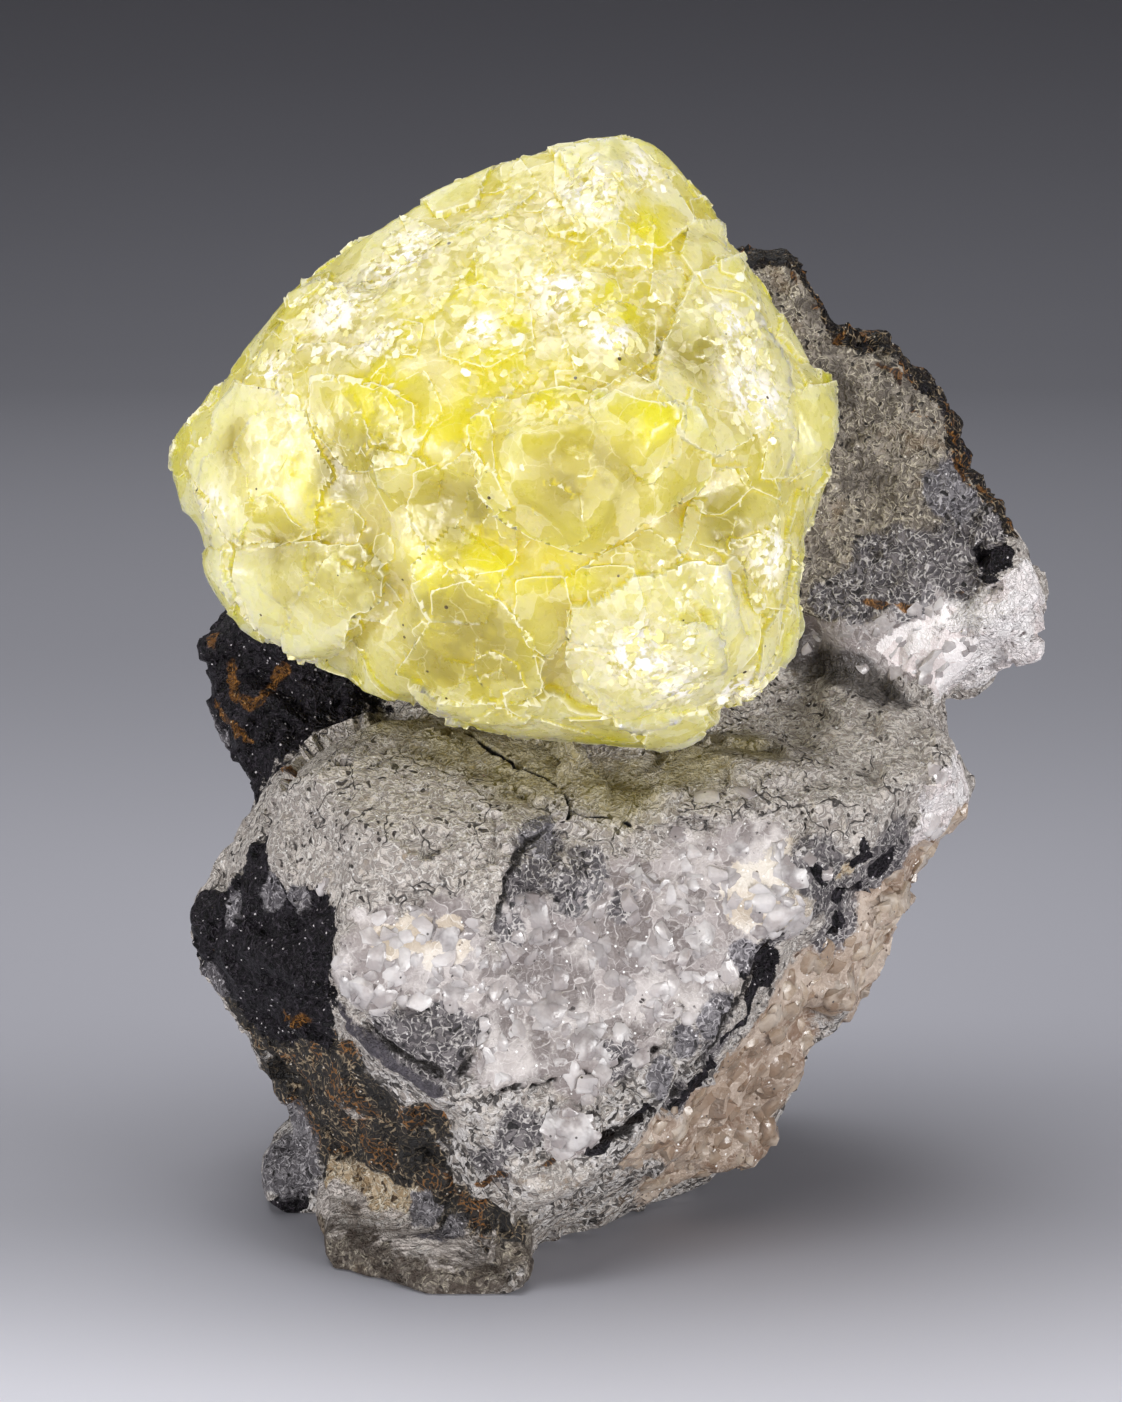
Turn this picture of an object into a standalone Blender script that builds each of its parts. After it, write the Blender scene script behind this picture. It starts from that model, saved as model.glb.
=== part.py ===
"""Botryoidal brucite on matrix, a cabinet-size mineral specimen that stands on its own rock.

A lemon-yellow brucite botryoid, grown as one mass of overlapping plates, sits in a seat on the sloping ledge
of a broken block of host rock. Behind it the rock rises as a wall and runs out to the right as a thin wing.
The tables are in millimetres: X to the right, Y away from the front, Z up, with the rest plane at z = 0.
The finished specimen is centred over the origin.
"""

import math
import random

import bmesh
import bpy
import numpy as np
from mathutils import Vector, kdtree, noise

MM = 0.001

# The size of the cells in which each mass is fused, and the triangles that each finished piece keeps.
ROCK_CELL = 0.9
BRUCITE_CELL = 0.7
SEAT_CELL = 0.8
ROCK_TRIANGLES = 5600
BRUCITE_TRIANGLES = 4000
SEAT_TRIANGLES = 2400
SEAT_CLEARANCE = 0.8  # between the brucite and the seat that it fills in the rock

# The host rock's slabs: a front outline (x, z), the depth in y that it fills, and the fracture planes
# that cleave it, each as a point on the plane and the plane's outward normal.
ROCK_SLABS = {
    "block": {
        "outline": [
            (-28.8, 39.8), (-20.0, 44.0), (-5.3, 46.5), (11.9, 50.0), (27.5, 43.3), (28.2, 40.1),
            (29.2, 35.8), (26.9, 31.9), (24.9, 27.0), (21.6, 21.2), (18.4, 16.8), (15.4, 12.2),
            (13.2, 7.4), (10.6, 4.6), (7.6, 0.6), (4.0, -5.0), (-24.9, -5.0), (-26.9, 1.9),
            (-28.4, 5.1), (-29.6, 10.0), (-33.0, 15.5), (-35.9, 21.7), (-36.6, 25.6), (-33.9, 30.3),
            (-31.9, 33.4),
        ],
        "depth": (-27.0, 25.0),
        "cleaved": [
            ((-4.5, -18.0, 38.2), (0.05, -0.37, 0.93)),  # the ledge
            ((-4.5, -18.0, 38.2), (0.22, -0.96, 0.18)),  # the front face
            ((-0.4, -23.0, 13.8), (0.71, -0.60, -0.39)),  # the right flank
            ((12.5, -3.0, 7.4), (0.52, -0.50, -0.69)),  # the undercut on the right
            ((-22.9, -23.0, 24.8), (-0.72, -0.55, -0.42)),  # the lower left face
            ((-22.5, -22.0, 32.8), (-0.78, -0.59, 0.19)),  # the upper left face
            ((-15.0, -23.0, 16.8), (-0.56, -0.74, -0.38)),  # the rusty recess
            ((20.0, 22.0, 30.0), (0.55, 0.83, 0.10)),  # the back, right to left, and under it
            ((-25.0, 22.0, 20.0), (-0.62, 0.78, 0.0)),
            ((0.0, 25.0, 8.0), (0.05, 0.86, -0.50)),
        ],
    },
    "left_face": {
        "outline": [
            (-28.8, 39.8), (-19.9, 44.5), (-5.3, 43.3), (-4.1, 39.1), (-8.9, 35.8), (-10.7, 30.6),
            (-18.1, 32.8), (-23.8, 31.8), (-29.7, 34.9),
        ],
        "depth": (-22.5, 0.0),
        "cleaved": [
            ((-4.5, -17.0, 39.5), (0.05, -0.42, 0.91)),
            ((-22.5, -21.0, 34.0), (-0.78, -0.59, 0.19)),
            ((-9.0, -22.3, 32.0), (0.10, -0.93, 0.36)),
        ],
    },
    "foot": {
        "outline": [
            (-26.1, 1.2), (-24.6, 4.0), (-16.1, 6.5), (-10.2, 5.5), (-7.2, 3.0), (-7.6, 1.0),
            (-9.0, -1.0), (-24.0, -1.0),
        ],
        "depth": (-24.4, 12.0),
        "cleaved": [
            ((-24.9, -8.0, 5.2), (-0.12, -0.27, 0.95)),
            ((-22.0, -20.0, 2.0), (-0.60, -0.80, 0.0)),
        ],
    },
    "grey_lump": {
        "outline": [(-31.1, 0.6), (-31.4, 3.8), (-28.8, 6.2), (-26.0, 5.0), (-25.0, 0.0), (-28.3, -1.4)],
        "depth": (-5.0, 6.0),
        "cleaved": [],
    },
    "dark_lump": {
        "outline": [
            (-34.8, 50.6), (-36.4, 47.3), (-37.0, 44.6), (-35.7, 42.2), (-33.7, 38.0), (-30.9, 34.6),
            (-25.2, 34.2), (-19.1, 38.3), (-18.2, 48.5), (-25.1, 52.4),
        ],
        "depth": (2.0, 19.0),
        "cleaved": [
            ((-32.0, 2.6, 44.0), (-0.75, -0.65, 0.10)),
            ((-24.0, 3.5, 38.0), (0.45, -0.85, -0.25)),
            ((-33.0, 16.0, 44.0), (-0.70, 0.70, 0.0)),
        ],
    },
    "wall": {
        "outline": [
            (-25.4, 39.2), (-25.7, 54.8), (-14.8, 74.6), (1.6, 83.2), (10.2, 80.5), (15.5, 66.8),
            (18.3, 47.7), (12.3, 40.6),
        ],
        "depth": (6.0, 21.0),
        "cleaved": [
            ((0.0, 21.0, 55.0), (0.10, 0.94, 0.33)),
            ((-18.0, 19.0, 60.0), (-0.60, 0.78, 0.15)),
        ],
    },
    "wing": {
        "outline": [
            (6.0, 78.0), (9.6, 80.9), (12.7, 81.6), (15.6, 81.1), (16.5, 78.6), (17.2, 76.4),
            (19.3, 75.0), (23.7, 72.9), (26.9, 69.3), (28.6, 64.5), (31.3, 62.1), (33.8, 57.5),
            (36.5, 54.2), (37.5, 50.0), (37.2, 46.0), (33.2, 44.6), (30.4, 42.9), (27.0, 43.0),
            (19.5, 46.3), (12.0, 44.0), (2.0, 42.8),
        ],
        "depth": (4.0, 19.0),
        "cleaved": [
            ((30.0, 5.0, 50.0), (0.30, -0.80, -0.52)),
            ((24.0, 6.0, 60.0), (0.10, -0.97, 0.20)),
            ((24.0, 18.0, 60.0), (0.35, 0.90, 0.25)),
        ],
    },
}

# Where the rock broke unevenly: the middle of each patch, how far it reaches, the width of its facets
# and how steeply they tilt.
ROCK_FRACTURES = [
    ((-30, -10, 26), 17, 5.5, 0.22),  # the dark left face
    ((-20, -16, 9), 13, 5.0, 0.22),  # the rusty recess
    ((-14, -20, 2), 9, 4.5, 0.14),  # the foot
    ((-30, 4, 44), 13, 5.0, 0.24),  # the dark lump
    ((31, 8, 60), 16, 5.0, 0.13),  # the wing
    ((22, 8, 78), 13, 4.4, 0.16),
    ((22, -6, 27), 16, 4.4, 0.20),  # the crystalline flank
    ((6, -10, 8), 14, 4.6, 0.18),
    ((0, -20, 24), 18, 5.5, 0.08),  # the front
    ((0, 22, 40), 60, 8.0, 0.18),  # the broken back
]

# Crystals and lumps that stand out of the rock: where each sits, its radius and how far it rises.
ROCK_LUMPS = [
    ((-21.3, -22.7, 25.5), 2.6, 1.2), ((-18.1, -23.0, 28.1), 2.4, 1.0), ((-14.9, -22.1, 29.5), 2.6, 1.2),
    ((-12.5, -21.9, 27.0), 2.4, 1.1), ((-22.5, -23.0, 28.1), 2.2, 0.9), ((-10.1, -21.3, 27.6), 2.1, 0.8),
    ((12.7, -15.5, 30.6), 2.9, 1.4), ((14.4, -14.7, 32.9), 2.7, 1.4), ((10.7, -15.7, 31.9), 2.3, 0.8),
    ((-4.5, -22.6, 13.7), 2.3, 1.1), ((10.6, -4.6, 6.2), 2.7, 2.2), ((8.2, -6.6, 5.4), 2.2, 1.2),
    ((18.6, -5.5, 20.4), 2.6, 1.4), ((23.6, -3.8, 27.9), 2.6, 1.3), ((26.3, -5.4, 35.3), 2.8, 1.3),
    ((17.8, -3.7, 17.3), 2.4, 1.2), ((14.3, -5.2, 13.3), 2.6, 1.2), ((25.0, -6.0, 31.5), 2.3, 1.0),
    ((32.6, 5.8, 50.3), 3.0, 0.9), ((29.3, 6.3, 47.6), 2.8, 1.0), ((35.0, 6.5, 48.0), 2.4, 0.8),
    ((3.0, -21.0, 16.5), 2.2, 0.7), ((7.0, -18.6, 21.5), 2.2, 0.7), ((-6.5, -22.0, 18.5), 2.3, 0.6),
]

# Raised lips and open furrows on the rock: the points that each runs through, its half width and height.
ROCK_LIPS = [
    ([(-27.5, -17.2, 25.2), (-23.1, -20.1, 23.0), (-19.9, -21.2, 20.4), (-15.2, -23.0, 17.2)], 1.5, 1.3),
    ([(-15.2, -23.0, 17.2), (-12.6, -23.1, 20.6), (-11.2, -21.9, 25.3)], 1.5, 0.9),
    ([(-10.0, -23.8, 10.8), (-0.4, -23.0, 13.8), (8.5, -19.4, 22.6), (13.2, -16.6, 29.0)], 1.4, -0.7),
    ([(-3.6, -18.2, 37.6), (-7.4, -20.4, 33.6), (-9.2, -21.6, 28.4)], 1.3, -0.6),
]

# The brucite's main mass: the corners (x, y, z) that it is spanned between.
BRUCITE_CORNERS = [
    # the outer outline, clockwise from the left tip
    (-39.0, -2, 64.5), (-37.3, -2, 67.7), (-36.0, -2, 70.8), (-31.4, -1, 76.5), (-25.2, 0, 82.5),
    (-18.9, 0, 86.3), (-15.4, 0, 88.8), (-7.3, 0, 92.1), (-2.0, 0, 93.0), (2.5, 0, 92.9),
    (4.8, 0, 90.7), (7.4, 0, 86.0), (12.0, 0, 81.0), (15.1, -1, 76.3), (17.8, -2, 70.6),
    (16.9, -4, 64.8), (15.5, -8, 56.5), (13.8, -10, 51.6), (9.5, -12, 45.9), (4.7, -13, 42.9),
    (0.0, -13, 42.8), (-12.6, -13, 44.5), (-23.4, -10, 47.6), (-30.7, -8, 51.3), (-34.7, -6, 55.8),
    (-37.5, -4, 61.5),
    # the front dome
    (-5.3, -26, 69.9), (0.9, -25, 71.3), (-17.8, -23, 61.9), (-17.8, -19, 74.0), (-26.3, -9, 78.7),
    (-32.1, -9, 71.3), (-33.4, -11, 60.1), (-14.1, -11, 83.3), (-2.1, -9, 88.4), (5.2, -8, 84.0),
    (10.9, -12, 76.4), (12.4, -15, 70.5), (5.6, -22, 66.1), (-3.7, -26, 59.7), (4.9, -25, 54.8),
    (12.0, -16, 56.1), (9.2, -18, 49.1), (-0.5, -20, 47.5), (-11.7, -19, 48.5), (-20.6, -16, 52.0),
    (-29.4, -11, 55.2),
    # the back, which lies against the rock's wall
    (-26.0, 8, 60.0), (-18.0, 11, 76.0), (-2.0, 10, 86.0), (8.0, 10, 76.0), (10.0, 9, 58.0),
    (-2.0, 7, 48.0), (-18.0, 6, 52.0),
]

# The furrows where the botryoid's lobes meet: the points that each runs through, its half width and height.
BRUCITE_FURROWS = [
    ([(-36.3, -6.0, 61.0), (-31.2, -12.3, 59.7), (-26.9, -15.7, 60.5), (-21.9, -19.6, 62.0)], 2.6, -1.1),
    ([(-21.9, -19.6, 62.0), (-15.0, -23.0, 64.5), (-11.5, -24.5, 62.5), (-8.4, -25.1, 62.0)], 4.4, -1.5),
    ([(-17.0, -23.1, 62.2), (-17.9, -22.1, 58.4), (-19.2, -18.8, 55.8), (-23.2, -12.8, 50.5)], 2.4, -1.0),
    ([(-8.4, -25.1, 61.0), (-2.2, -25.8, 61.1), (1.7, -25.2, 63.3), (5.7, -22.1, 65.2)], 2.6, -1.0),
    ([(5.7, -22.1, 65.2), (8.7, -20.0, 60.0), (10.5, -18.5, 54.0)], 2.2, -1.0),
    ([(5.7, -22.1, 65.2), (11.0, -17.0, 66.0), (15.4, -9.0, 65.5)], 2.0, -1.1),
    ([(-6.0, -24.8, 59.0), (-5.0, -23.5, 54.0), (-6.0, -19.5, 48.0)], 2.4, -1.1),
    ([(12.4, -3.6, 80.0), (13.6, -10.0, 73.5), (14.6, -11.5, 67.5)], 2.0, -1.2),
]

# The botryoid's large plates: where each lies, the way it faces, its radius, how far it stands proud,
# its number of sides and the angle (degrees) that it is turned by.
BRUCITE_PLATES = [
    ((-1.3, -10.5, 86.4), (0.26, -0.62, 0.74), 8.5, 1.5, 6, 12),  # the raised plate at the crown
    ((0.5, -6.0, 88.6), (0.24, -0.66, 0.72), 6.0, 2.3, 5, 40),
    ((7.4, -17.0, 74.6), (0.50, -0.72, 0.48), 8.2, 2.0, 6, 20),  # the upper right lobe
    ((9.8, -15.5, 71.0), (0.60, -0.74, 0.30), 6.2, 2.1, 6, 8),
    ((15.0, -7.0, 70.5), (0.93, -0.34, 0.12), 6.6, 1.0, 7, 0),  # the rim at the far right
    ((16.0, -4.0, 63.5), (0.90, -0.40, -0.16), 5.0, 0.8, 6, 25),
    ((-20.3, -18.0, 71.3), (-0.50, -0.80, 0.34), 7.2, 1.4, 7, 30),  # the bright plate left of the middle
    ((-17.0, -20.6, 68.2), (-0.44, -0.88, 0.16), 5.2, 1.3, 6, 5),
    ((-3.7, -25.8, 67.2), (0.02, -0.99, 0.10), 7.4, 1.3, 5, 50),  # the grey lobe in the middle
    ((-8.8, -25.0, 69.0), (-0.16, -0.97, 0.20), 4.6, 1.5, 6, 15),
    ((0.5, -24.4, 73.6), (0.20, -0.84, 0.50), 6.2, 1.2, 6, 35),
    ((-31.2, -10.7, 67.0), (-0.64, -0.74, 0.20), 8.6, 0.9, 6, 10),  # the smooth left face
    ((-35.2, -6.8, 64.4), (-0.84, -0.52, 0.10), 5.4, 0.8, 6, 45),
    ((-27.1, -13.6, 56.3), (-0.50, -0.78, -0.36), 8.2, 1.2, 7, 22),  # the lower left lobe
    ((-31.8, -9.4, 56.0), (-0.66, -0.64, -0.40), 5.6, 1.0, 6, 50),
    ((-21.0, -15.4, 51.8), (-0.40, -0.76, -0.50), 5.4, 1.2, 6, 12),
    ((-12.4, -20.9, 53.2), (-0.22, -0.92, -0.32), 7.0, 0.9, 6, 28),  # the lower middle
    ((-12.0, -18.0, 48.2), (-0.20, -0.80, -0.56), 5.0, 1.0, 5, 5),
    ((4.4, -24.4, 56.4), (0.34, -0.92, -0.12), 8.8, 1.7, 7, 15),  # the lower right lobe
    ((6.4, -21.4, 51.6), (0.48, -0.80, -0.36), 6.8, 1.5, 6, 40),
    ((10.7, -17.5, 60.2), (0.74, -0.66, 0.06), 6.2, 1.3, 5, 0),
    ((12.4, -14.0, 54.6), (0.82, -0.56, -0.16), 6.0, 1.5, 5, 30),
    ((12.6, -11.6, 50.2), (0.80, -0.52, -0.30), 4.8, 1.4, 6, 0),
    ((-14.1, -12.8, 81.6), (-0.20, -0.66, 0.72), 7.0, 0.9, 6, 18),  # the upper face
    ((-5.3, -18.6, 78.0), (-0.10, -0.74, 0.67), 6.4, 0.8, 6, 42),
    ((-24.2, -10.4, 78.2), (-0.50, -0.66, 0.56), 6.2, 0.9, 5, 25),
    ((-13.4, -18.4, 75.8), (-0.26, -0.74, 0.62), 6.0, 1.0, 6, 0),
    ((6.2, -12.0, 80.4), (0.40, -0.62, 0.68), 6.0, 1.0, 6, 33),
]
# The small plates strewn between them: how many, their radii, how far they stand proud, and how much they
# lean off the surface (as the tangent of the angle).
SMALL_PLATES = 230
SMALL_PLATE_RADII = (2.2, 4.6)
SMALL_PLATE_RISES = (0.0, 0.35)
SMALL_PLATE_LEAN = 0.06

# The most that a plate's rim stands out of what is under it.
LARGE_PLATE_RISE = 1.7
SMALL_PLATE_RISE = 0.8

# How far inside the outlines above each mass lies, so that its plates or its relief reach them.
BRUCITE_SINK = 0.75
ROCK_SINK = 0.25

ROUGHNESS = {"brucite": (0.07, 3.0), "matrix": (0.20, 4.0)}  # height and grain size of the fine waviness
RANDOM_SEED = 12


def material(name, rgb, roughness):
    """A Principled BSDF of one colour."""
    made = bpy.data.materials.new(name)
    made.use_nodes = True
    shader = made.node_tree.nodes["Principled BSDF"]
    shader.inputs["Base Color"].default_value = (*rgb, 1)
    shader.inputs["Roughness"].default_value = roughness
    return made


def evaluated_mesh(obj):
    """A new mesh of the object with its modifiers applied, in world space."""
    bpy.context.view_layer.update()
    graph = bpy.context.evaluated_depsgraph_get()
    mesh = bpy.data.meshes.new_from_object(obj.evaluated_get(graph))
    mesh.transform(obj.matrix_world)
    return mesh


def with_modifier(mesh, kind, **settings):
    """The mesh after one modifier."""
    obj = bpy.data.objects.new("working", mesh)
    bpy.context.scene.collection.objects.link(obj)
    modifier = obj.modifiers.new(kind, kind)
    for name, value in settings.items():
        setattr(modifier, name, value)
    made = evaluated_mesh(obj)
    bpy.data.objects.remove(obj)
    return made


def cleave(mesh, planes):
    """Cuts away what lies outside each fracture plane and closes the cut flat."""
    bm = bmesh.new()
    bm.from_mesh(mesh)
    for point, normal in planes:
        geometry = bm.verts[:] + bm.edges[:] + bm.faces[:]
        bmesh.ops.bisect_plane(
            bm, geom=geometry, plane_co=Vector(point) * MM, plane_no=Vector(normal), clear_outer=True
        )
        bmesh.ops.holes_fill(bm, edges=[e for e in bm.edges if e.is_boundary], sides=0)
    bmesh.ops.recalc_face_normals(bm, faces=bm.faces)
    bm.to_mesh(mesh)
    bm.free()
    return mesh


def slab(outline, depth, cleaved):
    """A slab of rock: its front outline filled through its depth, then cleaved by its fracture planes."""
    front, back = depth
    curve = bpy.data.curves.new("outline", "CURVE")
    curve.dimensions = "2D"
    curve.fill_mode = "BOTH"
    curve.extrude = (back - front) / 2 * MM
    spline = curve.splines.new("POLY")
    spline.points.add(len(outline) - 1)
    for point, (x, z) in zip(spline.points, outline):
        point.co = (x * MM, z * MM, 0, 1)
    spline.use_cyclic_u = True
    obj = bpy.data.objects.new("outline", curve)
    bpy.context.scene.collection.objects.link(obj)
    obj.rotation_euler.x = math.pi / 2
    obj.location.y = (front + back) / 2 * MM
    mesh = evaluated_mesh(obj)
    bpy.data.objects.remove(obj)
    bm = bmesh.new()
    bm.from_mesh(mesh)
    bmesh.ops.remove_doubles(bm, verts=bm.verts, dist=1e-6)
    bm.to_mesh(mesh)
    bm.free()
    return cleave(mesh, cleaved)


def spanned(corners):
    """The solid spanned between these corners."""
    bm = bmesh.new()
    for corner in corners:
        bm.verts.new(Vector(corner) * MM)
    made = bmesh.ops.convex_hull(bm, input=bm.verts)
    loose = [v for v in made["geom_interior"] if isinstance(v, bmesh.types.BMVert)]
    bmesh.ops.delete(bm, geom=loose, context="VERTS")
    mesh = bpy.data.meshes.new("spanned")
    bm.to_mesh(mesh)
    bm.free()
    return mesh


def fused(meshes, cell):
    """One closed skin round all the meshes."""
    bm = bmesh.new()
    for mesh in meshes:
        bm.from_mesh(mesh)
    joined = bpy.data.meshes.new("joined")
    bm.to_mesh(joined)
    bm.free()
    return with_modifier(joined, "REMESH", mode="VOXEL", voxel_size=cell * MM)


def thinned(mesh, triangles):
    """The mesh with about this many triangles."""
    count = sum(len(face.vertices) - 2 for face in mesh.polygons)
    return with_modifier(mesh, "DECIMATE", ratio=triangles / count, use_collapse_triangulate=True)


def vertex_values(mesh, name):
    """The places (mm) or the normals of the mesh's vertices, one row each."""
    values = np.empty(len(mesh.vertices) * 3, np.float32)
    mesh.vertices.foreach_get(name, values)
    values = values.reshape(-1, 3).astype(np.float64)
    return values / MM if name == "co" else values


def raised(mesh, heights, normals):
    """Moves each vertex along its normal by its height (mm)."""
    places = vertex_values(mesh, "co") + normals * heights[:, None]
    mesh.vertices.foreach_set("co", (places * MM).astype(np.float32).ravel())
    mesh.update()
    return mesh


def smooth_normals(mesh):
    """The normals of the mesh's form, without the steps of the cells that it was fused in."""
    smoothed = with_modifier(mesh.copy(), "SMOOTH", factor=0.5, iterations=8)
    return vertex_values(smoothed, "normal")


def nearest(places, place):
    return int(((places - np.array(place)) ** 2).sum(1).argmin())


def unit(vector):
    vector = np.array(vector, float)
    return vector / np.linalg.norm(vector)


def line_heights(places, lines):
    """Lips and furrows: each is highest, or deepest, on its line and fades out at its half width."""
    heights = np.zeros(len(places))
    for points, half_width, height in lines:
        distance = np.full(len(places), np.inf)
        for start, end in zip(points[:-1], points[1:]):
            start = np.array(start, float)
            along = np.array(end, float) - start
            share = np.clip((places - start) @ along / (along @ along), 0, 1)
            gap = np.linalg.norm(places - start - share[:, None] * along, axis=1)
            distance = np.minimum(distance, gap)
        fade = np.clip(1 - distance / half_width, 0, 1)
        heights += height * fade * fade * (3 - 2 * fade)
    return heights


def lump_heights(places, lumps):
    """Rounded crystals and lumps, half sunk in the surface."""
    heights = np.zeros(len(places))
    for place, radius, rise in lumps:
        distance = np.linalg.norm(places - places[nearest(places, place)], axis=1)
        dome = np.sqrt(np.clip(1 - (distance / radius) ** 2, 0, 1))
        heights = np.maximum(heights, rise * dome)
    return heights


def fracture_heights(places, fractures, source):
    """Uneven fracture: flat facets, each tilted its own way, in the patches that have them."""
    heights = np.zeros(len(places))
    for middle, reach, width, tilt in fractures:
        distance = np.linalg.norm(places - np.array(middle, float), axis=1)
        fade = np.clip(1.6 * (1 - distance / reach), 0, 1)
        inside = np.flatnonzero(fade > 0)
        if not len(inside):
            continue
        seats = []
        for index in source.sample(list(inside), len(inside)):
            place = places[index]
            if all(np.linalg.norm(place - other) > width for other in seats):
                seats.append(place)
        tree = kdtree.KDTree(len(seats))
        for number, seat in enumerate(seats):
            tree.insert(seat, number)
        tree.balance()
        slopes = [np.array([source.gauss(0, tilt) for _ in range(3)]) for _ in seats]
        for index in inside:
            seat, number, _ = tree.find(places[index])
            height = (places[index] - np.array(seat)) @ slopes[number]
            heights[index] += fade[index] * max(-width * tilt, min(width * tilt, height))
    return heights


def plate_heights(places, normals, plates, largest):
    """How far each vertex rises, at most the largest rise, to lie on the outermost plate that covers it."""
    heights = np.zeros(len(places))
    for place, facing, radius, rise, sides, turn in plates:
        facing = unit(facing)
        across = unit(np.cross(facing, (0.0, 0.0, 1.0)))
        upward = np.cross(across, facing)
        offset = places - places[nearest(places, place)]
        x = offset @ across
        y = offset @ upward
        angles = [math.radians(turn + 360 * side / sides) for side in range(sides)]
        reach = np.max([x * math.cos(angle) + y * math.sin(angle) for angle in angles], axis=0)
        lean = normals @ facing
        lift = (rise - offset @ facing) / np.maximum(lean, 0.3)
        covered = (reach < radius) & (lean > 0.5) & (lift < largest)
        heights[covered] = np.maximum(heights[covered], lift[covered])
    return heights


def scattered_plates(places, normals, source):
    """Small plates strewn over the whole botryoid, each leaning a little off the surface under it."""
    plates = []
    for _ in range(SMALL_PLATES):
        index = source.randrange(len(places))
        lean = np.array([source.gauss(0, SMALL_PLATE_LEAN) for _ in range(3)])
        plates.append((
            places[index],
            normals[index] + lean,
            source.uniform(*SMALL_PLATE_RADII),
            source.uniform(*SMALL_PLATE_RISES),
            source.randint(5, 7),
            source.uniform(0, 60),
        ))
    return plates


def waviness(places, height, grain):
    """Fine irregular waviness."""
    return np.array([height * noise.fractal(Vector(place) / grain, 0.9, 2.0, 3) for place in places])


def build_brucite(source):
    """The botryoid: lobes parted by furrows, roofed over by flat overlapping plates."""
    mesh = fused([spanned(BRUCITE_CORNERS)], BRUCITE_CELL)
    normals = smooth_normals(mesh)
    heights = line_heights(vertex_values(mesh, "co"), BRUCITE_FURROWS) - BRUCITE_SINK
    mesh = raised(mesh, heights, normals)
    places = vertex_values(mesh, "co")
    heights = plate_heights(places, normals, BRUCITE_PLATES, LARGE_PLATE_RISE)
    small = scattered_plates(places + normals * heights[:, None], normals, source)
    mesh = raised(mesh, heights, normals)
    places = vertex_values(mesh, "co")
    heights = plate_heights(places, normals, small, SMALL_PLATE_RISE)
    mesh = raised(mesh, heights + waviness(places, *ROUGHNESS["brucite"]), normals)
    return thinned(mesh, BRUCITE_TRIANGLES)


def seat_of(brucite):
    """The space that the brucite takes in the rock, with its clearance."""
    mesh = fused([brucite], SEAT_CELL)
    heights = np.full(len(mesh.vertices), SEAT_CLEARANCE)
    mesh = raised(mesh, heights, smooth_normals(mesh))
    return thinned(mesh, SEAT_TRIANGLES)


def build_matrix(seat, source):
    """The host rock: fused slabs with their fractures, lips and crystals, cut by the brucite's seat."""
    mesh = fused([slab(**parts) for parts in ROCK_SLABS.values()], ROCK_CELL)
    normals = smooth_normals(mesh)
    places = vertex_values(mesh, "co")
    heights = fracture_heights(places, ROCK_FRACTURES, source)
    heights += line_heights(places, ROCK_LIPS)
    heights += lump_heights(places, ROCK_LUMPS)
    heights += waviness(places, *ROUGHNESS["matrix"]) - ROCK_SINK
    mesh = thinned(raised(mesh, heights, normals), ROCK_TRIANGLES)
    cutter = bpy.data.objects.new("seat", seat)
    bpy.context.scene.collection.objects.link(cutter)
    mesh = with_modifier(mesh, "BOOLEAN", operation="DIFFERENCE", solver="EXACT", object=cutter)
    bpy.data.objects.remove(cutter)
    return cleave(mesh, [((0, 0, 0), (0, 0, -1))])


def centre(meshes):
    """Moves the meshes together so that the middle of their common footprint is over the origin."""
    places = np.vstack([vertex_values(mesh, "co") for mesh in meshes]) * MM
    middle = (places.min(0) + places.max(0)) / 2
    print("the footprint's middle was at", middle[0], middle[1])
    for mesh in meshes:
        moved = vertex_values(mesh, "co") * MM - (middle[0], middle[1], 0)
        mesh.vertices.foreach_set("co", moved.astype(np.float32).ravel())
        mesh.update()


def show(name, mesh, look, collection):
    """A named object in the specimen's collection."""
    mesh.name = name
    mesh.materials.clear()
    mesh.materials.append(look)
    obj = bpy.data.objects.new(name, mesh)
    collection.objects.link(obj)


def main():
    for obj in list(bpy.data.objects):
        bpy.data.objects.remove(obj)
    specimen = bpy.data.collections.new("Botryoidal brucite on matrix")
    bpy.context.scene.collection.children.link(specimen)
    source = random.Random(RANDOM_SEED)
    brucite = build_brucite(source)
    matrix = build_matrix(seat_of(brucite), source)
    centre([brucite, matrix])
    show("matrix", matrix, material("host rock", (0.38, 0.34, 0.31), 0.8), specimen)
    show("brucite", brucite, material("brucite", (0.80, 0.72, 0.30), 0.35), specimen)


main()
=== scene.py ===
# %% [markdown]
# # Botryoidal brucite on its host rock
#
# The specimen has two pieces: a lemon-yellow brucite botryoid, grown as one mass of overlapping plates, and
# the block of host rock that it grew on. The solids give both their true form and size. This lesson dresses
# them: each solid is copied, given a fine skin, and roughened the way its mineral breaks or grows. Lengths
# in the tables are millimetres, X to the right, Y away from the front and Z up.

import math
import random

import bmesh
import bpy
import numpy as np
from mathutils import Euler, Matrix, Vector, bvhtree, kdtree, noise


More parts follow.
